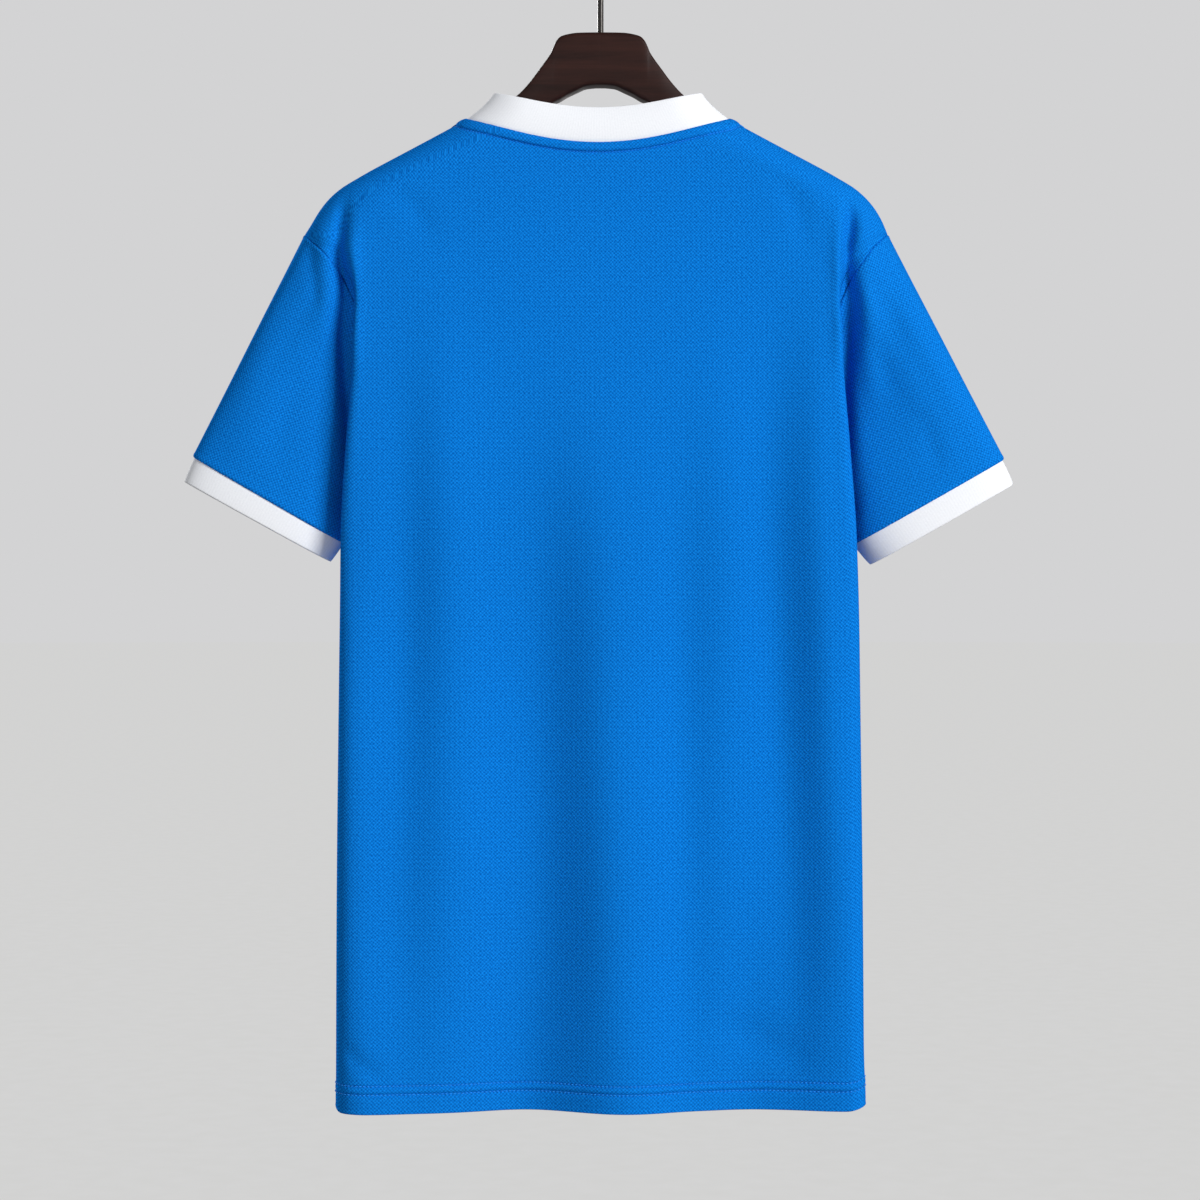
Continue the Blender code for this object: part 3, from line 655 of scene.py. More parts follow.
FRONT_SLEEVES = {
    1: (
        (6.5, -9, ((182, 108), (183, 130), (183, 160), (181, 200), (179, 246))),
        (11, -9, ((176, 180), (176, 225), (182, 275), (187, 330))),
        (8, 3.2, ((199, 88), (198, 120), (201, 170))),
        (9, -1.8, ((212, 108), (217, 160), (223, 210))),
        (12, 1.6, ((230, 112), (240, 160), (254, 220))),
    ),
    -1: (
        (6.5, -9, ((184, 106), (184, 130), (183.5, 160), (181, 190), (178, 240))),
        (12, -9, ((175, 180), (175, 225), (181, 275), (187, 330))),
        (8, 3.2, ((202, 86), (201, 118), (203, 168))),
        (9, -1.6, ((215, 104), (221, 170), (227, 230))),
        (12, 1.5, ((236, 128), (246, 178), (256, 226))),
    ),
}
BACK_CUT = {
    "side": 1, "neck": BACK_NECK, "folds": BACK_FOLDS,
    "drapes": BACK_DRAPES, "armhole": BACK_ARMHOLES, "sleeve": BACK_SLEEVES,
}
FRONT_CUT = {
    "side": -1, "neck": FRONT_NECK, "folds": FRONT_FOLDS,
    "drapes": FRONT_DRAPES, "armhole": FRONT_ARMHOLES, "sleeve": FRONT_SLEEVES,
}

back, back_plain, back_normals, back_grid = make_panel("jersey_back", BACK_CUT)
front, front_plain, front_normals, front_grid = make_panel("jersey_front", FRONT_CUT)


# ---------------- sleeves and cuffs
SHARES = np.concatenate(
    [[0.0, 0.0012, 0.004, 0.009, 0.016, 0.025, 0.036], np.linspace(0.05, 0.95, 46),
     [0.964, 0.975, 0.984, 0.991, 0.996, 0.9988, 1.0]]
)
SLEEVE_SEAM = (0.0, 0.2, 0.45, 0.75, 1.1, 1.6, 2.2, 3.0, 4.0, 5.2)  # rows from the armhole's seam
SLEEVE_ROWS = 42  # between those and the edge's
# distance back from the sleeve's end, how far out from the cloth's own surface
SLEEVE_EDGE = ((4.0, 0.0), (2.6, 0.1), (1.6, 0.15), (0.9, 0.1), (0.4, -0.15), (0.05, -0.5), (-0.1, -0.9))
CREASE_FADE = 24.0  # the creases die away over this last stretch of the sleeve
DEEPEST_SLEEVE_CREASE = 0.72  # as a share of the sleeve's half depth there


def armhole_half(plain, sign):
    """The seam edge of a panel from the underarm to the shoulder's end, at the sleeve's shares."""
    first = len(NECK_ROWS) + len(BELOW_BAND) + len(SHOULDER_ROWS) - 1
    edge = plain[first : first + 1 + len(ARMHOLE_ROWS), -1 if sign > 0 else 0][::-1]
    far = distances(edge)
    points = place_on(edge, far, SHARES * far[-1])
    points[[0, -1], 1] = 0.0
    return points


def flat_oval(corners, sign, side, inset):
    """Half of the sleeve's end, from the underarm (share 0) to the outer edge (share 1)."""
    inner, outer = np.array(corners[0]), np.array(corners[1])
    line = (outer - inner) / np.linalg.norm(outer - inner) * inset
    middle, reach = (inner + outer) / 2, (outer - inner - 2 * line) / 2
    x, drop = middle[:, None] - reach[:, None] * np.cos(np.pi * SHARES)
    power = SLEEVE_FULLNESS[0] + (SLEEVE_FULLNESS[1] - SLEEVE_FULLNESS[0]) * grown(SHARES, 0, FULLNESS_SHARE)
    fullness = np.maximum(0.0, np.sin(np.pi * SHARES)) ** (2 * power)
    y = (SLEEVE_END_HALF_DEPTH - inset) * fullness
    return np.column_stack([sign * x + LEAN[0], side * y, NECK_Z - drop])


def whole_ring(back_half, front_half):
    return np.concatenate([back_half, front_half[-2:0:-1]])


def end_ring(corners, sign, inset=0.0):
    return whole_ring(*(flat_oval(corners, sign, side, inset) for side in (1, -1)))


def ring_normals(rings, along):
    """Outward normals of rings, from the ways around and along them."""
    around = np.roll(rings, -1, axis=1) - np.roll(rings, 1, axis=1)
    normals = unit(np.cross(around, along))
    centre = rings.mean(axis=1, keepdims=True)
    return normals if ((rings - centre) * normals).sum() > 0 else -normals


def sleeve_creases(rings, from_seam, to_edge, sign):
    """How far the creases move each point of the sleeve's two faces out, along Y."""
    x, y = np.abs(rings[..., 0] - LEAN[0]), np.abs(rings[..., 1])
    drops = NECK_Z - rings[..., 2]
    out = np.zeros_like(x)
    for side, sleeves, armholes in ((1, BACK_SLEEVES, BACK_ARMHOLES), (-1, FRONT_SLEEVES, FRONT_ARMHOLES)):
        facing = (rings[..., 1] * side >= 0).astype(float)
        depth = creases(x, drops, sleeves[sign]) * grown(to_edge, 0, CREASE_FADE)
        depth += creases(x, drops, armholes[sign]) * bump(from_seam, SEAM_BLEND)
        out += depth * facing
    return np.maximum(out, -DEEPEST_SLEEVE_CREASE * y)


def flat_sleeve(rings):
    """Where each point lay on the sleeve's flat piece, measured from the fold along its outer edge."""
    wrapped = np.concatenate([rings, rings[:, :1]], axis=1)
    fold = len(SHARES) - 1
    way = rings[-1, fold] - rings[0, fold]
    way = way / np.linalg.norm(way)
    down = (wrapped - rings[0, fold]) @ way
    steps = np.linalg.norm(np.diff(wrapped, axis=1), axis=-1)
    across = np.sqrt(np.maximum(steps**2 - np.diff(down, axis=1) ** 2, (LEAST_FLAT_STEP * steps) ** 2))
    around = np.concatenate([np.zeros((len(rings), 1)), np.cumsum(across, axis=1)], axis=1)
    return np.stack([around - around[:, fold : fold + 1], -down], axis=-1)


def make_sleeve(name, sign, corners):
    start = whole_ring(armhole_half(back_plain, sign), armhole_half(front_plain, sign))
    end = end_ring(corners, sign)
    length = np.linalg.norm(end - start, axis=1)
    middle = np.linspace(0, 1, SLEEVE_ROWS + 2)[1:-1]
    from_seam = [np.full_like(length, far) for far in SLEEVE_SEAM]
    from_seam += [SLEEVE_SEAM[-1] + t * (length - SLEEVE_SEAM[-1] - SLEEVE_EDGE[0][0]) for t in middle]
    from_seam += [length - short for short, _ in SLEEVE_EDGE]
    from_seam = np.array(from_seam)
    rings = start + (end - start) * (from_seam / length)[..., None]
    # the seam already has its creases, and they are in each ring laid out from it, so they come off
    seam_depth = sleeve_creases(start[None], np.zeros((1, len(start))), length[None], sign)
    out = sleeve_creases(rings, from_seam, length - from_seam, sign)
    out = out - seam_depth * np.clip(1 - from_seam / length, 0, 1)
    out = np.maximum(out, -DEEPEST_SLEEVE_CREASE * np.abs(rings[..., 1]))
    rings[..., 1] += np.sign(rings[..., 1]) * out
    normals = ring_normals(rings, np.broadcast_to(unit(end - start), rings.shape))
    sewn = seam_dip(from_seam)
    sewn[-len(SLEEVE_EDGE) :] += np.array(SLEEVE_EDGE)[:, 1:]
    uv = flat_sleeve(rings)
    rings = rings + normals * sewn[..., None]
    thing = grid_object(name, rings, uv, closed_rows=True, flip=sign > 0)
    give_wall(thing)
    return thing


def make_band(name, outer, inwards, wall, flip):
    """A band of rib folded double: its outer face, round its free edge, and back up its inner face."""
    half = wall / 2
    rows = list(outer)
    way = unit(outer[-1] - outer[-2])
    centre = outer[-1] + inwards[-1] * half
    for turn in np.linspace(0, math.pi, BAND_EDGE_STEPS + 1)[1:-1]:
        rows.append(centre - inwards[-1] * half * math.cos(turn) + way * half * math.sin(turn))
    rows += [ring + step * wall for ring, step in zip(outer[::-1], inwards[::-1])]
    points = np.array(rows)
    wrapped = np.concatenate([points, points[:, :1]], axis=1)
    down = distances(np.concatenate([wrapped, wrapped[:1]]), 0)
    around = np.broadcast_to(distances(wrapped, 1)[:1], down.shape)
    uv = np.stack([around, -down], axis=-1)
    return grid_object(name, points, uv, closed_rows=True, closed_columns=True, flip=flip)


# distance from the seam, how far out from the cuff's own surface: the free edge's row comes after
CUFF_ROWS = (
    (-TUCK_IN, -0.5), (-1, -0.35), (0.2, -0.1), (1.2, 0.12), (2.4, 0.25), (4, 0.3), (6.5, 0.35),
    (9.5, 0.4), (12.5, 0.4), (15.5, 0.35), (17, 0.25), (18.2, 0.12),
)
CUFF_EDGE = 0.8  # how far short of the whole length the outer face ends
BAND_EDGE_STEPS = 6


def make_cuff(name, sign, sleeve_corners, cuff_corners):
    seam, free = (end_ring(corners, sign, CUFF_INSET) for corners in (sleeve_corners, cuff_corners))
    run = free - seam
    length = np.linalg.norm(run, axis=1).mean()
    heights, out = np.array((*CUFF_ROWS, (length - CUFF_EDGE, 0.0))).T
    rings = seam + run * (heights / length)[:, None, None]
    normals = ring_normals(rings, np.broadcast_to(unit(run), rings.shape))
    rings = rings + normals * out[:, None, None]
    return make_band(name, rings, -normals, CUFF_WALL, flip=sign < 0)


sleeve_left = make_sleeve("sleeve_left_cloth", 1, LEFT_SLEEVE_END)
sleeve_right = make_sleeve("sleeve_right_cloth", -1, RIGHT_SLEEVE_END)
cuff_left = make_cuff("cuff_left_rib", 1, LEFT_SLEEVE_END, LEFT_CUFF_END)
cuff_right = make_cuff("cuff_right_rib", -1, RIGHT_SLEEVE_END, RIGHT_CUFF_END)


# ---------------- collar
def neckline(plain, side):
    """The panel's neck edge, without the garment's lean, running round the neck."""
    points = plain[0] - (LEAN[0], 0, 0)
    return points[::-1] if side > 0 else points


# height above the seam, how far out from the collar's own surface
COLLAR_ROWS = (
    (-TUCK_IN, -1.15), (-1.2, -1), (-0.3, -0.72), (0.4, -0.4), (1.1, -0.12), (2, 0.05), (3.2, 0.15),
    (5, 0.2), (7.5, 0.2), (10.5, 0.2), (14, 0.2), (17.5, 0.18), (20.5, 0.15), (23, 0.1), (25, 0.05),
    (26.2, 0),
)
COLLAR_HEIGHT = 27.2


def make_collar():
    back_seam, front_seam = neckline(back_plain, 1), neckline(front_plain, -1)
    seam = np.vstack([back_seam[:-1], front_seam[:-1]])
    is_back = seam[:, 1] > 0
    neck_drops = np.where(is_back, BACK_NECK["drop"], FRONT_NECK["drop"])
    top_mids = np.where(is_back, COLLAR_TOP_DROP["back"], COLLAR_TOP_DROP["front"])
    leans = np.where(is_back, COLLAR_LEAN_BACK, COLLAR_LEAN_FRONT)
    shares = (NECK_Z - seam[:, 2]) / neck_drops
    top_drops = COLLAR_TOP_DROP["side"] + (top_mids - COLLAR_TOP_DROP["side"]) * shares
    top = np.column_stack([seam[:, 0] * COLLAR_NARROWING, seam[:, 1] * leans, NECK_Z - top_drops])
    outwards = np.sign(seam[:, 1]) * COLLAR_BULGE * shares
    rows = []
    for height, _ in COLLAR_ROWS:
        t = height / COLLAR_HEIGHT
        row = seam + (top - seam) * t
        arch = math.sin(math.pi * max(t, 0.0))
        row[:, 0] *= 1 - COLLAR_HOLLOW * arch
        row[:, 1] += outwards * arch
        row[:, 0] += LEAN[0]
        rows.append(row)
    rows = np.array(rows)
    normals = ring_normals(rows, np.gradient(rows, axis=0))
    rows = rows + normals * np.array(COLLAR_ROWS)[:, 1:, None]
    return make_band("collar_rib", rows, -normals, COLLAR_WALL, flip=False)


collar = make_collar()


# ---------------- stitches
# One stitch: the share of its length, the height, and the share of its thickness.
STITCH = ((-0.5, -0.14, 0.45), (-0.3, 0.1, 0.9), (0.0, 0.2, 1.0), (0.3, 0.1, 0.9), (0.5, -0.14, 0.45))
STITCH_FLATNESS = 0.8
THREAD_CORNERS = (0.25, 0.75, 1.25, 1.75)  # in half turns
LOOK_AHEAD = 0.5  # how far on the thread's way is looked for


def stitch_line(name, points, normals, pitch, length, half_width, rise):
    """A row of stitches: one short thread, thick in its middle and sunk at its ends, again and again."""
    far = distances(points)
    count = int(far[-1] / pitch)
    verts, faces = [], []
    for k in range(count):
        at = (k + 0.5) * far[-1] / count
        ring_starts = []
        for along, up, thick in STITCH:
            place = at + along * length
            here, ahead = place_on(points, far, (place, place + LOOK_AHEAD))
            out = unit(place_on(normals, far, place))
            side = unit(np.cross(out, ahead - here + A_HAIR))
            middle = here + out * (rise + up)
            ring_starts.append(len(verts))
            for turn in THREAD_CORNERS:
                angle = math.pi * turn
                way = side * math.cos(angle) + out * math.sin(angle) * STITCH_FLATNESS
                verts.append(middle + way * half_width * thick)
        for a, b in zip(ring_starts, ring_starts[1:]):
            for i in range(4):
                j = (i + 1) % 4
                faces.append((a + i, a + j, b + j, b + i))
        a, b = ring_starts[0], ring_starts[-1]
        faces += [(a + 3, a + 2, a + 1, a), (b, b + 1, b + 2, b + 3)]
    thing = new_piece(name, np.array(verts), faces)
    select_only(thing)
    bpy.ops.object.mode_set(mode="EDIT")
    bpy.ops.mesh.select_all(action="SELECT")
    bpy.ops.mesh.normals_make_consistent(inside=False)
    bpy.ops.object.mode_set(mode="OBJECT")
    return thing


def hem_row(height):
    """Which of the hem's rows lies at this height above its edge."""
    return [i for i, (h, _) in enumerate(HEM_ROWS) if h == height][0]


STITCHES = []
for panel_name, grid, normals in (("back", back_grid, back_normals), ("front", front_grid, front_normals)):
    first = len(grid) - len(hem_profile())
    for label, height in (("low", HEM_STITCHES[0]), ("high", HEM_STITCHES[1])):
        row = first + hem_row(height)
        name = f"hem_stitches_{panel_name}_{label}"
        STITCHES.append(stitch_line(name, grid[row, 2:-2], normals[row, 2:-2], **HEM_THREAD))
    row = int(np.argmin(np.abs(NECK_ROWS - BAND_WIDTH)))
    name = f"neck_stitches_{panel_name}"
    STITCHES.append(stitch_line(name, grid[row, 1:-1], normals[row, 1:-1], **NECK_THREAD))


# ---------------- hanger and hook
def select_where(mesh_object, test):
    """In edit mode, selects the faces whose normal passes a test."""
    bpy.ops.object.mode_set(mode="OBJECT")
    mesh = mesh_object.data
    mesh.vertices.foreach_set("select", np.zeros(len(mesh.vertices), bool))
    mesh.edges.foreach_set("select", np.zeros(len(mesh.edges), bool))
    for face in mesh.polygons:
        face.select = bool(test(face.normal))
    bpy.ops.object.mode_set(mode="EDIT")
    bpy.ops.mesh.select_mode(type="FACE")


def hanger_sections():
    """x, depth, height and middle drop of each section from the middle to the arm's end."""
    knots = [station[0] for station in HANGER_STATIONS]
    places = [np.linspace(a, b, HANGER_STEPS + 1)[1:] for a, b in zip(knots, knots[1:])]
    sections = []
    for x in [knots[0], *np.concatenate(places)]:
        top, under, half_depth = smooth(HANGER_STATIONS, x)
        top += shoulder_sag(x, top) + ARM_CLEARANCE * grown(x, *ARM_CLEARANCE_FROM)
        sections.append((x, 2 * half_depth, under - top, (top + under) / 2))
    return sections


def make_hanger():
    select_only()
    sections = hanger_sections()
    x, depth, height, middle = sections[1]
    bpy.ops.mesh.primitive_cube_add(size=1, location=(x / 2 * MM, 0, (NECK_Z - middle) * MM))
    hanger = bpy.context.object
    hanger.name = hanger.data.name = "wooden_hanger"
    hanger.scale = (x * MM, depth * MM, height * MM)
    bpy.ops.object.transform_apply(location=True, rotation=True, scale=True)
    # the four long edges are rounded before the arm is drawn out
    bpy.ops.object.mode_set(mode="EDIT")
    bpy.ops.mesh.select_mode(type="EDGE")
    bpy.ops.mesh.select_all(action="DESELECT")
    bpy.ops.object.mode_set(mode="OBJECT")
    for edge in hanger.data.edges:
        a, b = (hanger.data.vertices[i].co for i in edge.vertices)
        edge.select = abs(a.x - b.x) > 0.5 * x * MM
    bpy.ops.object.mode_set(mode="EDIT")
    bpy.ops.mesh.bevel(offset=HANGER_ROUNDING * MM, segments=4, profile=0.5)
    select_where(hanger, lambda normal: normal.x > FACING)
    for new_x, new_depth, new_height, new_middle in sections[2:]:
        bpy.ops.mesh.extrude_region_move(
            TRANSFORM_OT_translate={"value": ((new_x - x) * MM, 0, (middle - new_middle) * MM)}
        )
        bpy.ops.transform.resize(value=(1, new_depth / depth, new_height / height))
        x, depth, height, middle = new_x, new_depth, new_height, new_middle
    # the arm's end is inset and drawn out a little, so that it ends round
    for inset, out in ARM_TIP:
        bpy.ops.mesh.inset(thickness=inset * MM)
        bpy.ops.transform.translate(value=(out * MM, 0, 0))
    select_where(hanger, lambda normal: normal.x < -FACING)
    bpy.ops.mesh.delete(type="FACE")
    bpy.ops.mesh.select_all(action="SELECT")
    bpy.ops.mesh.bisect(plane_co=(GLUE_LINE * MM, 0, 0), plane_no=(1, 0, 0))
    bpy.ops.mesh.select_mode(type="VERT")
    bpy.ops.mesh.select_all(action="DESELECT")
    bpy.ops.object.mode_set(mode="OBJECT")
    for vertex in hanger.data.vertices:
        vertex.select = abs(vertex.co.x) < TOUCH * MM
    bpy.ops.object.mode_set(mode="EDIT")
    bpy.ops.transform.resize(value=GLUE_LINE_SINK)
    bpy.ops.object.mode_set(mode="OBJECT")
    mirror = hanger.modifiers.new("other arm", "MIRROR")
    mirror.merge_threshold = TOUCH * MM
    bpy.ops.object.modifier_apply(modifier="other arm")
    # the hole for the hook's stem
    hole_top = -HOOK_RISE + WIRE
    hole_bottom = -HOOK_RISE - STEM_DEPTH
    select_only()
    bpy.ops.mesh.primitive_cylinder_add(
        vertices=HOLE_SIDES,
        radius=(WIRE / 2 + STEM_CLEARANCE) * MM,
        depth=(hole_top - hole_bottom) * MM,
        location=(0, 0, (hole_top + hole_bottom) / 2 * MM),
    )
    drill = bpy.context.object
    hole = hanger.modifiers.new("stem hole", "BOOLEAN")
    hole.object, hole.operation, hole.solver = drill, "DIFFERENCE", "EXACT"
    select_only(hanger)
    bpy.ops.object.modifier_apply(modifier="stem hole")
    bpy.data.objects.remove(drill)
    bpy.ops.object.shade_smooth_by_angle(angle=math.radians(HANGER_SHARP))
    return hanger


def make_hook():
    """The wire: up the stem, round the bend that sets it aside, and over the top to its rounded tip."""
    select_only()
    low = math.radians(HOOK_LOW_ANGLE)
    bend_radius = HOOK_RADIUS * math.cos(low) / (1 - math.cos(low))
    centre_z = -HOOK_INNER_RADIUS
    bend_z = centre_z + (HOOK_RADIUS + bend_radius) * math.sin(low)
    stem_bottom = -HOOK_RISE - STEM_DEPTH + STEM_CLEARANCE
    bpy.ops.mesh.primitive_circle_add(
        vertices=WIRE_SIDES, radius=WIRE / 2 * MM, fill_type="NGON", location=(0, 0, stem_bottom * MM)
    )
    hook = bpy.context.object
    hook.name = hook.data.name = "wire_hook"
    bpy.ops.object.transform_apply(location=True, rotation=True, scale=True)
    bpy.ops.object.mode_set(mode="EDIT")
    bpy.ops.mesh.select_all(action="SELECT")
    step = (bend_z - stem_bottom) / STEM_STEPS * MM
    for _ in range(STEM_STEPS):
        bpy.ops.mesh.extrude_region_move(TRANSFORM_OT_translate={"value": (0, 0, step)})
    bend = (bend_radius * MM, 0, bend_z * MM)
    centre = (0, 0, centre_z * MM)
    turn = math.radians(HOOK_TIP_ANGLE) - low
    bpy.ops.mesh.spin(steps=BEND_STEPS, angle=-low, center=bend, axis=(0, -1, 0), dupli=False)
    bpy.ops.mesh.spin(steps=HOOK_STEPS, angle=turn, center=centre, axis=(0, 1, 0), dupli=False)
    bpy.ops.mesh.bevel(offset=HOOK_TIP_ROUNDING * MM, segments=3, affect="EDGES")
    bpy.ops.mesh.select_all(action="SELECT")
    bpy.ops.mesh.remove_doubles(threshold=0.001 * MM)
    bpy.ops.mesh.normals_make_consistent(inside=False)
    bpy.ops.object.mode_set(mode="OBJECT")
    bpy.ops.object.shade_smooth_by_angle(angle=math.radians(HOOK_SHARP))
    return hook


hanger = make_hanger()
hook = make_hook()


# ---------------- materials
def linear(hex_colour):
    """An sRGB hex colour as the linear red, green, blue and alpha that a shader takes."""
    channels = [int(hex_colour[i : i + 2], 16) / 255 for i in (1, 3, 5)]
    return (*(c / 12.92 if c <= 0.04045 else ((c + 0.055) / 1.055) ** 2.4 for c in channels), 1)


def add_node(tree, kind, settings=(), inputs=()):
    """A node with its settings and, for each input, a value or the output that feeds it."""
    node = tree.nodes.new("ShaderNode" + kind)
    for name, value in dict(settings).items():
        setattr(node, name, value)
    for name, value in dict(inputs).items():
        if isinstance(value, bpy.types.NodeSocket):
            tree.links.new(value, node.inputs[name])
        else:
            node.inputs[name].default_value = value
    return node


def new_material(name):
    made = bpy.data.materials.new(name)
    made.use_nodes = True
    return made, made.node_tree


def finish_material(made, shade, colours, height, strength, depth, **values):
    """The colour goes from one hex colour to the other with the shade, over relief of a depth in mm."""
    tree, shader = made.node_tree, made.node_tree.nodes["Principled BSDF"]
    dark, light = (linear(colour) for colour in colours)
    colour = add_node(tree, "Mix", {"data_type": "RGBA"}, {"Factor": shade, "A": dark, "B": light})
    tree.links.new(colour.outputs["Result"], shader.inputs["Base Color"])
    relief = {"Height": height, "Strength": strength, "Distance": depth * MM}
    tree.links.new(add_node(tree, "Bump", (), relief).outputs["Normal"], shader.inputs["Normal"])
    for name, value in values.items():
        shader.inputs[name.replace("_", " ")].default_value = value
    return made


def make_plain(name, noise, colours, strength, depth, **values):
    """A material whose colour and relief both follow one noise."""
    made, tree = new_material(name)
    place = add_node(tree, "TexCoord").outputs["Object"]
    shade = add_node(tree, "TexNoise", (), {"Vector": place, **noise}).outputs["Fac"]
    return finish_material(made, shade, colours, shade, strength, depth, **values)


# Interlock polyester knit, dyed through: a matt blue cloth with a fine pebbled face and hardly any
# sheen. Its loops stand about 0.8 mm apart, too fine to show, so the pebbles are drawn 2.6 mm apart.
# Every 3.6 mm or so, the knitting's columns and rows show as a faint check. The colour follows the
# relief's height: painted shade in the pebbles' hollows and a painted highlight on their tops, besides
# the yarn's uneven tone.
PEBBLE = 2.6
CHECK = 3.6
WANDER = 1.1  # the yarn isn't quite even, so the pebbles wander by up to this


def wave(tree, place, period):
    """A sine wave across one of the cloth's two flat sizes."""
    turns = 2 * math.pi / (period * MM)
    turned = add_node(tree, "Math", {"operation": "MULTIPLY"}, {0: place, 1: turns})
    return add_node(tree, "Math", {"operation": "SINE"}, {0: turned.outputs[0]}).outputs[0]


def make_jersey_knit():
    made, tree = new_material("blue polyester interlock knit")
    flat = add_node(tree, "UVMap", {"uv_map": "flat size"}).outputs["UV"]
    noise = add_node(tree, "TexNoise", (), {"Vector": flat, "Scale": 260.0, "Detail": 1.0}).outputs["Color"]
    moves = {0: noise, 1: (WANDER * MM,) * 3, 2: flat}
    moved = add_node(tree, "VectorMath", {"operation": "MULTIPLY_ADD"}, moves).outputs[0]
    size = add_node(tree, "SeparateXYZ", (), {0: moved})
    across, up = (wave(tree, size.outputs[axis], PEBBLE) for axis in ("X", "Y"))
    pebbles = add_node(tree, "Math", {"operation": "MULTIPLY"}, {0: across, 1: up}).outputs[0]
    column, row = (wave(tree, size.outputs[axis], CHECK) for axis in ("X", "Y"))
    check = add_node(tree, "Math", {"operation": "ADD"}, {0: column, 1: row}).outputs[0]
    yarn = add_node(
        tree, "TexNoise", (), {"Vector": flat, "Scale": 620.0, "Detail": 2.0, "Roughness": 0.7}
    ).outputs["Fac"]
    fuzzy = add_node(tree, "Math", {"operation": "MULTIPLY_ADD"}, {0: yarn, 1: 3.0, 2: pebbles}).outputs[0]
    height = add_node(tree, "Math", {"operation": "MULTIPLY_ADD"}, {0: check, 1: 0.1, 2: fuzzy}).outputs[0]
    # the colour follows the height: painted shade in the hollows, painted highlight on the tops, yarn's tone
    shade = add_node(tree, "MapRange", (), {"Value": height, "From Min": 0.42, "From Max": 2.58}).outputs[0]
    colours = ("#045ab0", "#1188ea")
    return finish_material(made, shade, colours, height, 0.4, 0.22, Roughness=0.7, Specular_IOR_Level=0.0)


# Cotton and elastane rib: a matt white band with faint upright ribs, each about 1.6 mm wide, drawn
# at 2.2 mm so that they show. Its colour follows their height, with a little painted shade in their
# furrows, besides the fluff's uneven tone.
RIB = 2.2


def make_rib_knit():
    made, tree = new_material("white rib knit")
    flat = add_node(tree, "UVMap", {"uv_map": "flat size"}).outputs["UV"]
    ribs = wave(tree, add_node(tree, "SeparateXYZ", (), {0: flat}).outputs["X"], RIB)
    fluff = add_node(tree, "TexNoise", (), {"Vector": flat, "Scale": 700.0, "Detail": 2.0, "Roughness": 0.6})
    height = add_node(
        tree, "Math", {"operation": "MULTIPLY_ADD"}, {0: ribs, 1: 0.1, 2: fluff.outputs["Fac"]}
    ).outputs[0]
    # painted shade in the furrows between the ribs, besides the fluff's uneven tone
    shade = add_node(tree, "MapRange", (), {"Value": height, "From Min": 0.1, "From Max": 0.9}).outputs[0]
    colours = ("#e9ebf0", "#f6f8fc")
    return finish_material(made, shade, colours, height, 0.3, 0.15, Roughness=0.8, Specular_IOR_Level=0.0)


# Hardwood stained dark brown under thin satin lacquer: near black, with a faint grain along each arm.
def make_stained_wood():
    made, tree = new_material("dark brown stained wood")
    place = add_node(tree, "TexCoord").outputs["Object"]
    # pores run along the arms, so the pattern is stretched along X
    stretched = add_node(tree, "Mapping", (), {"Vector": place, "Scale": (0.07, 1.0, 1.0)}).outputs["Vector"]
    pores = add_node(
        tree, "TexNoise", (), {"Vector": stretched, "Scale": 700.0, "Detail": 4.0, "Roughness": 0.65}
    ).outputs["Fac"]
    rings = add_node(
        tree, "TexNoise", (), {"Vector": stretched, "Scale": 130.0, "Detail": 3.0, "Distortion": 0.6}
    ).outputs["Fac"]
    grain = add_node(tree, "Math", {"operation": "MULTIPLY_ADD"}, {0: pores, 1: 0.5, 2: rings}).outputs[0]
    stain = add_node(tree, "MapRange", (), {"Value": grain, "From Min": 0.5, "From Max": 1.0}).outputs[0]
    lacquer = {"Coat_Weight": 0.05, "Coat_Roughness": 0.3, "IOR": 1.5, "Specular_IOR_Level": 0.15}
    return finish_material(
        made, stain, ("#200f0c", "#341b16"), grain, 0.12, 0.2, Roughness=0.45, **lacquer
    )


knit, rib = make_jersey_knit(), make_rib_knit()
# Core-spun polyester thread in the cloth's own blue, a little shinier than the knit.
twist = {"Scale": 1500.0, "Detail": 1.0}
shine = {"Roughness": 0.6, "Specular_IOR_Level": 0.05}
thread = make_plain("blue polyester thread", twist, ("#0f7fe0", "#3aa2fa"), 0.2, 0.1, **shine)
wood = make_stained_wood()
# Drawn steel wire, oiled dark: a soft grey highlight with fine, cloudy marks.
marks = {"Scale": 420.0, "Detail": 3.0, "Roughness": 0.6}
shine = {"Roughness": 0.34, "Metallic": 1.0}
wire = make_plain("dark drawn steel wire", marks, ("#2e2c2b", "#4a4846"), 0.1, 0.05, **shine)
PIECES = (
    (back, knit, "jersey", "back"),
    (front, knit, "jersey", "front"),
    (sleeve_left, knit, "jersey", "sleeve_left"),
    (sleeve_right, knit, "jersey", "sleeve_right"),
    (cuff_left, rib, "rib", "cuff_left"),
    (cuff_right, rib, "rib", "cuff_right"),
    (collar, rib, "rib", "collar"),
    (hanger, wood, "wood", "hanger"),
    (hook, wire, "wire", "hook"),
    *((stitches, thread, "jersey", None) for stitches in STITCHES),
)
for piece, look, slot, node in PIECES:
    piece.data.materials.clear()
    piece.data.materials.append(look)
    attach(piece, "root")
    if node:
        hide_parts(node)


# ---------------- floor, light and camera
FLOOR_BELOW_HEM = 110.0
FLOOR_RADIUS = 30  # in metres
CAMERA_PLACE = (0.0004, 2.05, -0.478)  # in metres


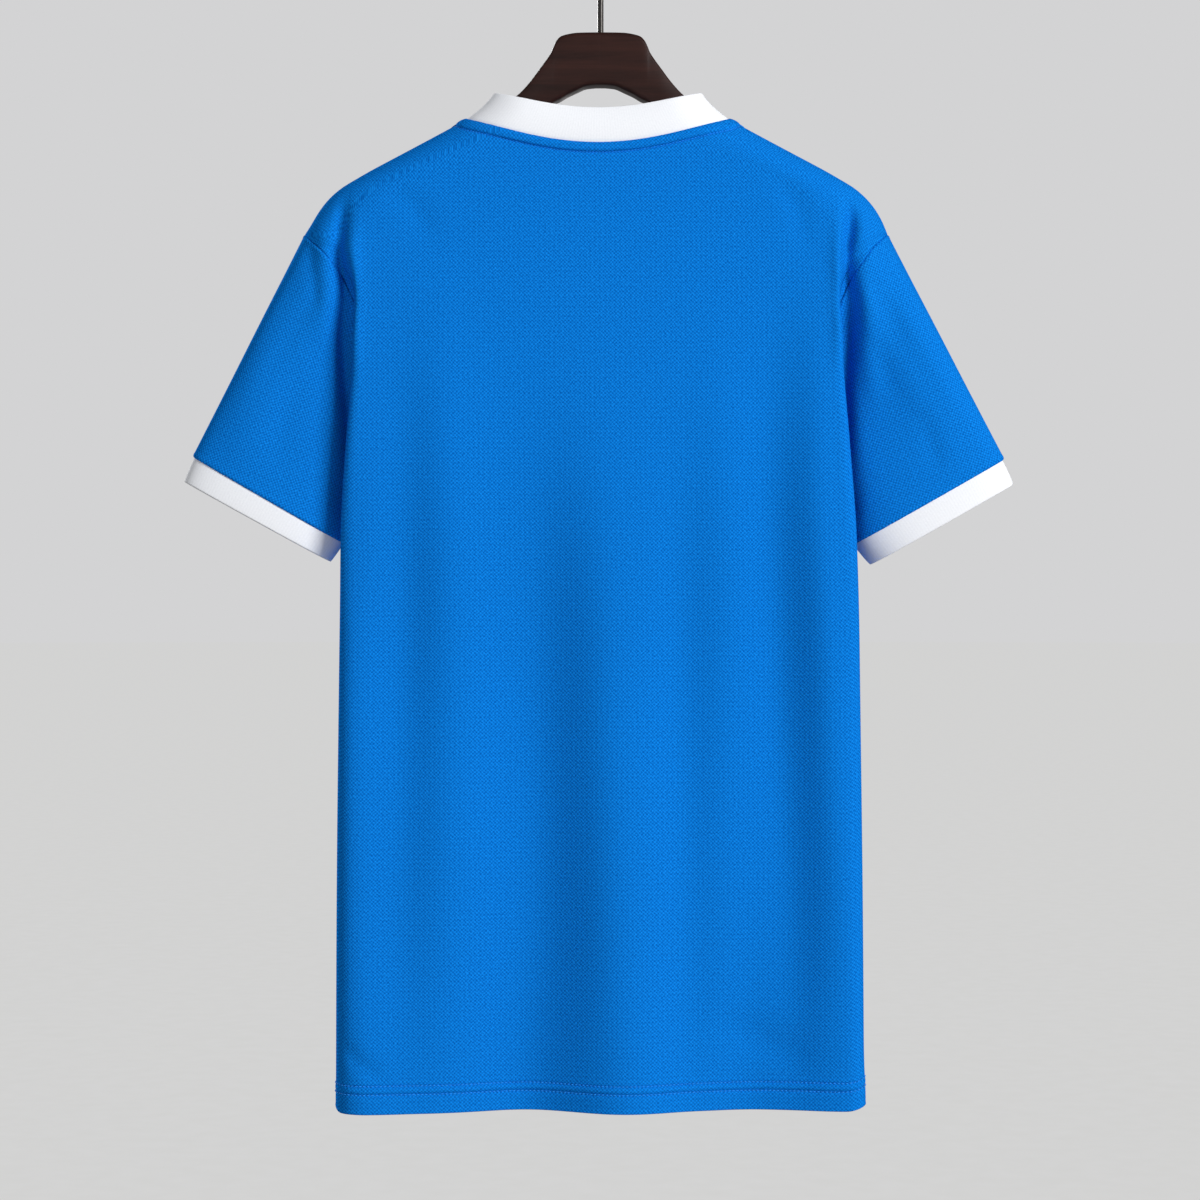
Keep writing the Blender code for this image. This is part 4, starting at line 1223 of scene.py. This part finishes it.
def make_floor():
    select_only()
    floor_z = (NECK_Z - BODY_LENGTH - FLOOR_BELOW_HEM) * MM
    bpy.ops.mesh.primitive_circle_add(
        vertices=96, radius=FLOOR_RADIUS, fill_type="NGON", location=(0, 0, floor_z)
    )
    floor = bpy.context.object
    floor.name = "floor"
    bpy.ops.object.transform_apply(location=True, rotation=True, scale=True)
    made, tree = new_material("pale studio floor")
    shader = tree.nodes["Principled BSDF"]
    place = add_node(tree, "TexCoord").outputs["Object"]
    speck = add_node(tree, "TexNoise", (), {"Vector": place, "Scale": 40.0, "Detail": 3.0}).outputs["Fac"]
    shades = {"Factor": speck, "A": linear("#d0d0cf"), "B": linear("#d5d5d5")}
    colour = add_node(tree, "Mix", {"data_type": "RGBA"}, shades)
    tree.links.new(colour.outputs["Result"], shader.inputs["Base Color"])
    shader.inputs["Roughness"].default_value = 0.9
    # to the camera it is as pale as the walls, but it throws only half of that light up at the jersey
    even = add_node(tree, "Emission", (), {"Color": colour.outputs["Result"], "Strength": 1.0})
    dull = add_node(tree, "Emission", (), {"Color": colour.outputs["Result"], "Strength": 0.5})
    seen = add_node(tree, "LightPath").outputs["Is Camera Ray"]
    shown = add_node(tree, "MixShader", (), {0: seen, 1: dull.outputs[0], 2: even.outputs[0]})
    tree.links.new(shown.outputs[0], tree.nodes["Material Output"].inputs["Surface"])
    floor.data.materials.append(made)


def add_softbox(name, place, target_z, size, watts):
    """A square softbox that faces the garment's middle at a height. Places and sizes are in metres."""
    light = bpy.data.lights.new(name, "AREA")
    light.shape, light.size, light.energy = "SQUARE", size, watts
    lamp = bpy.data.objects.new(name, light)
    lamp.location = place
    lamp.rotation_euler = (Vector((0, 0, target_z)) - Vector(place)).to_track_quat("-Z", "Y").to_euler()
    bpy.context.scene.collection.objects.link(lamp)


def add_camera():
    lens = bpy.data.cameras.new("camera")
    lens.lens, lens.sensor_width = 85, 36
    camera = bpy.data.objects.new("camera", lens)
    camera.location = CAMERA_PLACE
    camera.rotation_euler = (math.radians(90), 0, math.radians(180))
    bpy.context.scene.collection.objects.link(camera)
    bpy.context.scene.camera = camera


make_floor()
add_softbox("key softbox", (-4.0, 3.9, 1.5), -0.42, 2.4, 336)
add_softbox("fill softbox", (2.0, 5.0, 0.4), -0.4, 2.4, 40)
add_softbox("front key softbox", (3.2, -4.6, 1.4), -0.42, 2.0, 310)
add_softbox("front fill softbox", (-1.6, -5.2, 0.4), -0.4, 2.4, 44)
add_camera()
world = bpy.context.scene.world or bpy.data.worlds.new("studio")
bpy.context.scene.world = world
world.use_nodes = True
sky = world.node_tree
dim = sky.nodes["Background"]
dim.inputs["Color"].default_value, dim.inputs["Strength"].default_value = linear("#e8e9ec"), 0.26
# the studio's walls look pale, but give the jersey little light
pale = add_node(sky, "Background", (), {"Color": linear("#d3d3d4"), "Strength": 1.0})
seen = add_node(sky, "LightPath").outputs["Is Camera Ray"]
walls = add_node(sky, "MixShader", (), {0: seen, 1: dim.outputs[0], 2: pale.outputs[0]})
sky.links.new(walls.outputs[0], sky.nodes["World Output"].inputs["Surface"])
bpy.context.scene.view_settings.view_transform = "Standard"
